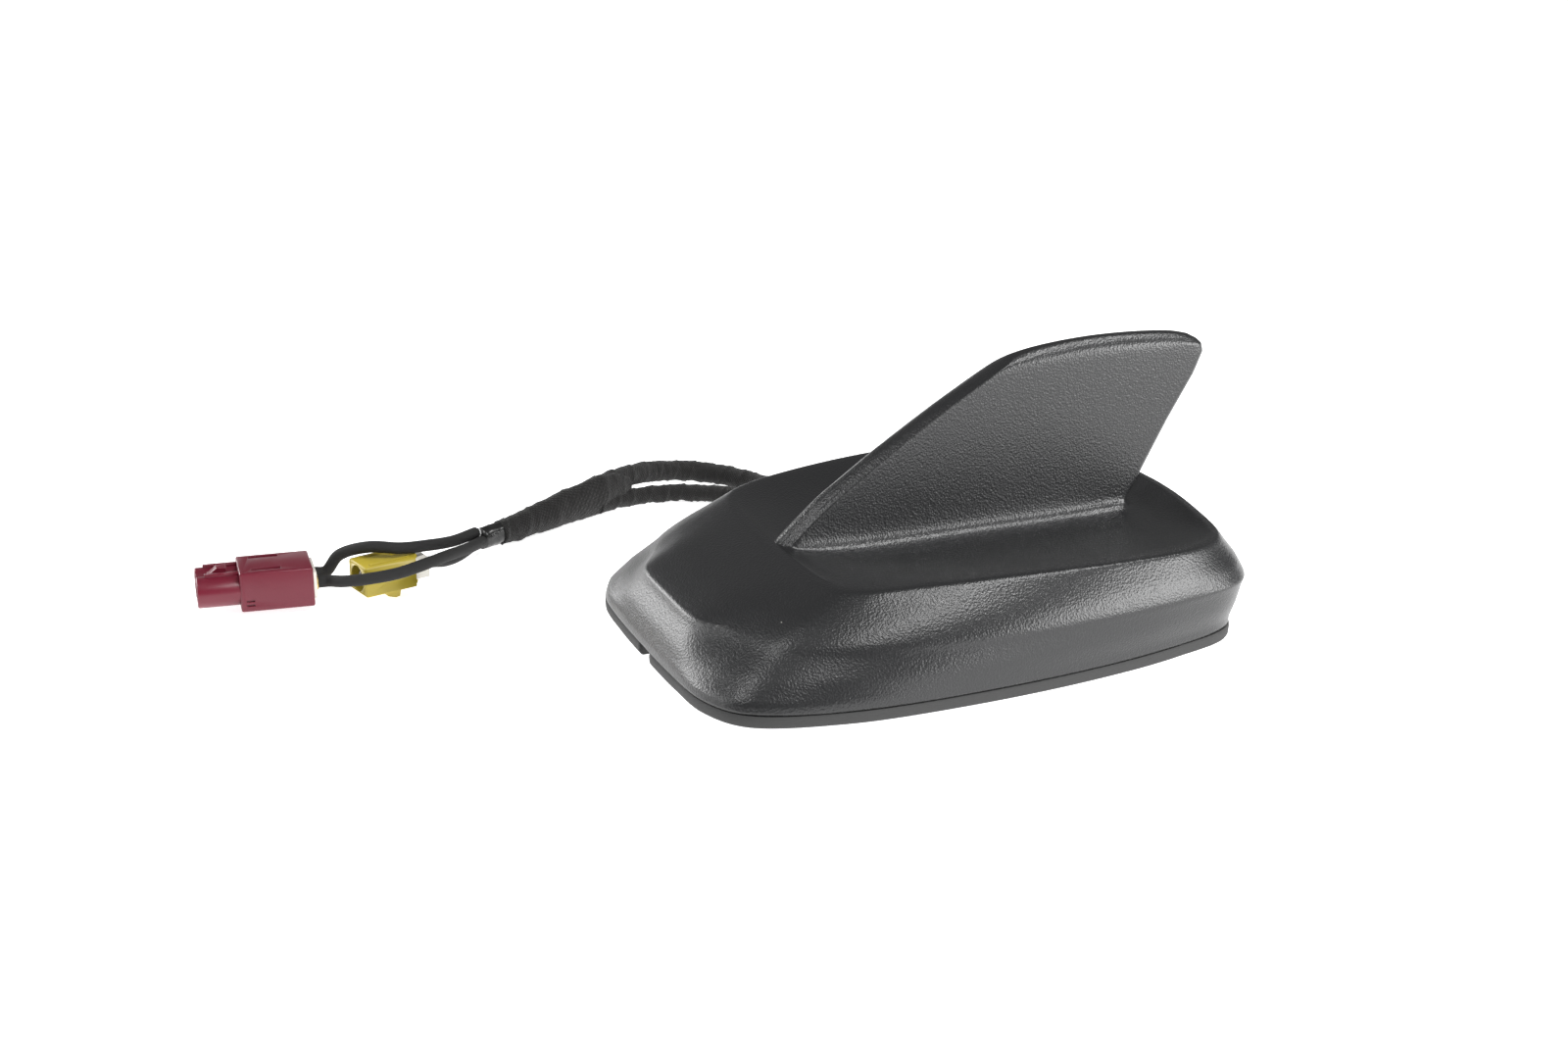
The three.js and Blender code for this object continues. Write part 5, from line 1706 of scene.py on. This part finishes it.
@dataclass
class Harness:
    """Taped branches, trunk, sleeve, coax runs and plugs, in millimetres.

    Args:
        twin: The double plug.
        solo: The single plug.
        boot: Where the cable boot stands.
        trunk_end: Where the trunk's tape ends.
        sleeve: Length of the shrunk sleeve.
        gap: How far the sleeve reaches past that length.
        past: How far beyond the sleeve the coax runs begin.
    """

    twin: TwinPlug = field(default_factory=TwinPlug)
    solo: SoloPlug = field(default_factory=SoloPlug)
    boot: Pair = (6.0, 34.1)
    trunk_end: Triple = (-77.5, 126.6, 3.9)
    sleeve: float = 6.2
    gap: float = 0.3
    past: float = 0.7

    def _way(self) -> Vector:
        """Gives the direction in which the trunk runs out."""
        return Vector((-0.93, -0.37, 0)).normalized()

    def _leave(self, across: float, rise: float) -> Vector:
        """Gives where a coax run leaves the sleeve."""
        way = self._way()
        start = Vector(self.trunk_end) + way * (self.sleeve + self.gap * 2 + self.past)
        return start + Vector((-way.y, way.x, 0)) * across + Vector((0, 0, rise))

    def wraps(self) -> tuple[Wrap, Wrap, Wrap, Wrap]:
        """Gives the two branches, the trunk and the sleeve."""
        x, y = self.boot
        a, b = 6.3, 5.2
        upper = Wrap(
            "branch_upper", "tape_branch_a",
            (
                (x + 4.4, y, 5.4, a, a), (x + 5, y + 12, 4.6, a, a), (15, 68, 3.5, a, a), (17, 96, 3.3, a, a),
                (14.5, 122, 3.3, a, a), (8.8, 139.3, 3.3, a, a), (0.6, 149.6, 4, a, a), (-9, 154, 5.2, a, a),
                (-20, 153.2, 6.8, a, a), (-31, 148.2, 8.2, a, a), (-44, 142.2, 8.0, a, a),
            ),
            pitch=8.5, seed=0.2,
        )
        lower = Wrap(
            "branch_lower", "tape_branch_b",
            (
                (x - 4.6, y, 5, b, b), (x - 5, y + 12, 3.8, b, b), (3, 66, 2.8, b, b), (5.5, 94, 2.7, b, b),
                (3.4, 120, 2.7, b, b), (-2.4, 134.6, 2.7, b, b), (-10.5, 140.2, 2.7, b, b),
                (-19, 143.6, 2.8, b, b), (-31.4, 143.6, 3.0, b, b), (-43, 139.9, 3.3, b, b),
            ),
            pitch=7.5, seed=0.7,
        )
        end = self.trunk_end
        trunk = Wrap(
            "trunk_wrap", "tape_trunk",
            (
                (-31.5, 145.6, 6.0, 4.6, 7.0), (-36, 143.9, 6.05, 6.4, 10.6), (-41.5, 141.7, 6.05, 7.2, 12),
                (-55.5, 136, 5.2, 7.8, 10.4),
                (-65.5, 131.8, 4.5, 7.6, 8.8), (-73, 128.4, 4, 7.2, 7.8), (*end, 7, 7.2),
            ),
            pitch=10.5, seed=0.45,
        )
        way = self._way()
        first = Vector(end) - way * 1.0
        last = Vector(end) + way * (self.sleeve + self.gap)
        sleeve = Wrap(
            "sleeve_shrunk", "bundle_sleeve", ((*first, 6.4, 6.6), (*last, 6.6, 6.8)), pitch=400, seed=0.5
        )
        return upper, lower, trunk, sleeve

    def runs(self) -> tuple[Coax, Coax, Coax]:
        """Gives the three bare coax runs."""
        twin, solo = self.twin, self.solo
        far = Coax(
            "coax_upper", "coax_far",
            (
                twin.out(twin.contact_back + 0.6, 1), twin.out(twin.back, 1), twin.out(twin.back + 3.4, 1),
                (-128.6, 108.7, 10.7), (-121.4, 102.9, 14.2), (-113.4, 99.8, 13.8),
                (-104.8, 104.2, 11.8), (-94.2, 115.2, 7.8), self._leave(-1.5, 1.6),
            ),
            ("twin_housing", "twin_lock", "contact_far", "centre_pin_far", "ferrule_far"),
        )
        near = Coax(
            "coax_lower", "coax_near",
            (
                twin.out(twin.contact_back + 0.6, -1), twin.out(twin.back, -1), twin.out(twin.back + 3.4, -1),
                (-130.6, 95.2, 8.2), (-124.2, 91.7, 9.3), (-116, 91.8, 9.7),
                (-106.4, 95.2, 10.2), (-99.9, 100.9, 9.2), (-91.2, 111.6, 6.3),
                self._leave(1.7, -0.2),
            ),
            ("contact_near", "centre_pin_near", "ferrule_near"),
        )
        single = Coax(
            "coax_solo", "coax_single",
            (
                solo.out(solo.contact_back + 0.6), solo.out(solo.back), solo.out(solo.back + 3, -0.3),
                (-98.6, 109, 4.6), (-92.7, 116.2, 2.7), self._leave(-1.7, -1.9),
            ),
            ("solo_housing", "solo_lock", "contact_single", "centre_pin_single", "ferrule_single"),
        )
        return far, near, single

    def dress(self) -> None:
        """Builds the harness and gives each piece its finish."""
        upper, lower, trunk, sleeve = self.wraps()
        upper.dress(declare=True)
        lower.dress(declare=True)
        trunk.dress(declare=False)
        sleeve.dress(declare=False, finish=SLEEVE)
        self.twin.dress()
        self.solo.dress()
        for run in self.runs():
            run.dress()


# ---------------------------------------------------------------- frame nodes, studio and camera
@dataclass
class FrameDress:
    """Gives every node that stays its finish, by the record's slots."""

    frame: dict

    def dress(self) -> None:
        """Assigns a material to each node that is still shown."""
        for part in self.frame["record"]["subparts"]:
            node = self.frame["nodes"][part["node"]]
            if node.hide_render:
                continue
            node.data.materials.clear()
            node.data.materials.append(BY_SLOT[part["material_slot"]].material())
            log.info("%s keeps its shape and takes %s", part["node"], part["material_slot"])


@dataclass
class Panel:
    """One soft light panel.

    Args:
        name: Its name.
        place: Where it stands, in metres.
        aim: What it faces, in metres.
        size: Its width and height, in metres.
        power: Its power, in watts.
    """

    name: str
    place: Triple
    aim: Triple
    size: Pair
    power: float

    def build(self) -> None:
        """Makes the panel."""
        data = bpy.data.lights.new(self.name, "AREA")
        data.shape = "RECTANGLE"
        data.size, data.size_y = self.size
        data.energy = self.power
        made = bpy.data.objects.new(self.name, data)
        made.location = self.place
        made.rotation_mode = "QUATERNION"
        way = Vector(self.aim) - Vector(self.place)
        made.rotation_quaternion = way.to_track_quat("-Z", "Y")
        bpy.context.scene.collection.objects.link(made)


PANELS = (
    Panel("panel_front", (1.05, -1.05, 0.32), (0.0, 0.0, 0.03), (1.0, 0.6), 27.0),
    Panel("panel_left", (-1.1, 0.3, 0.42), (-0.04, 0.0, 0.03), (0.5, 0.5), 3.0),
    Panel("panel_bevel", (-0.8, 0.0, 1.05), (-0.02, 0.0, 0.05), (0.16, 0.16), 3.4),
    Panel("panel_strip", (0.3, -0.42, 1.0), (0.0, 0.0, 0.04), (1.1, 0.08), 12.0),
    Panel("panel_back", (-0.75, 1.05, 0.36), (0.0, 0.0, 0.05), (0.8, 0.5), 11.0),
)


@dataclass
class Studio:
    """Pale floor, soft lights and the camera.

    Args:
        eye: Camera's place, in millimetres.
        turn: Its azimuth, in degrees.
        tilt: Its elevation, in degrees.
        lens: Its focal length, in millimetres.
        sensor: Width of its sensor, in millimetres.
        near: Nearest distance that it sees, in metres.
        far: Farthest distance that it sees, in metres.
        sky: Strength of the even light from all round.
        ground: Radius of the floor, in millimetres.
        glow: Strength of the floor's own light.
    """

    eye: Triple = (-276.05, -581.1, 277.3)
    turn: float = -22.13
    tilt: float = 20.3
    lens: float = 61.72
    sensor: float = 36
    near: float = 0.02
    far: float = 30
    sky: float = 0.18
    ground: float = 9000
    glow: float = 0.85

    def camera(self) -> None:
        """Makes the camera."""
        data = bpy.data.cameras.new("camera")
        data.lens = self.lens
        data.sensor_width = self.sensor
        data.clip_start = self.near
        data.clip_end = self.far
        made = bpy.data.objects.new("camera", data)
        bpy.context.scene.collection.objects.link(made)
        a, e = math.radians(self.turn), math.radians(self.tilt)
        back = Vector((math.sin(a) * math.cos(e), -math.cos(a) * math.cos(e), math.sin(e)))
        made.location = Vector(self.eye) * MM
        made.rotation_mode = "QUATERNION"
        made.rotation_quaternion = (-back).to_track_quat("-Z", "Y")
        bpy.context.scene.camera = made

    def lights(self) -> None:
        """Sets the world's soft light and the panels."""
        world = bpy.data.worlds.new("studio")
        world.use_nodes = True
        back = world.node_tree.nodes["Background"]
        back.inputs["Color"].default_value = (1, 1, 1, 1)
        back.inputs["Strength"].default_value = self.sky
        bpy.context.scene.world = world
        for panel in PANELS:
            panel.build()

    def floor(self) -> None:
        """Makes the pale floor."""
        bm = bmesh.new()
        bmesh.ops.create_circle(bm, cap_ends=True, segments=64, radius=self.ground)
        bmesh.ops.translate(bm, vec=(0, 0, -0.05), verts=bm.verts)
        made = settle(bm, "floor")
        paint = bpy.data.materials.new("pale_floor")
        paint.use_nodes = True
        shader = paint.node_tree.nodes["Principled BSDF"]
        shader.inputs["Base Color"].default_value = (0.9, 0.9, 0.9, 1)
        shader.inputs["Roughness"].default_value = 0.9
        shader.inputs["Specular IOR Level"].default_value = 0.2
        shader.inputs["Emission Color"].default_value = (1, 1, 1, 1)
        shader.inputs["Emission Strength"].default_value = self.glow
        made.data.materials.append(paint)

    def build(self) -> None:
        """Makes the whole studio."""
        bpy.context.scene.view_settings.view_transform = "Standard"
        self.camera()
        self.lights()
        self.floor()


def corners(box: tuple[Vector, Vector]) -> list[list[float]]:
    """Gives a box as plain lists."""
    return [list(map(float, corner)) for corner in box]


def main() -> None:
    """Builds the scene in order."""
    logging.basicConfig(level=logging.INFO, format="%(message)s")
    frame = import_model()
    plan = Plan()
    Studio().build()
    Harness().dress()
    Radome(plan).dress()
    Seal(plan).dress()
    Underside(plan).dress()
    FrameDress(frame).dress()


if __name__ == "__main__":
    main()
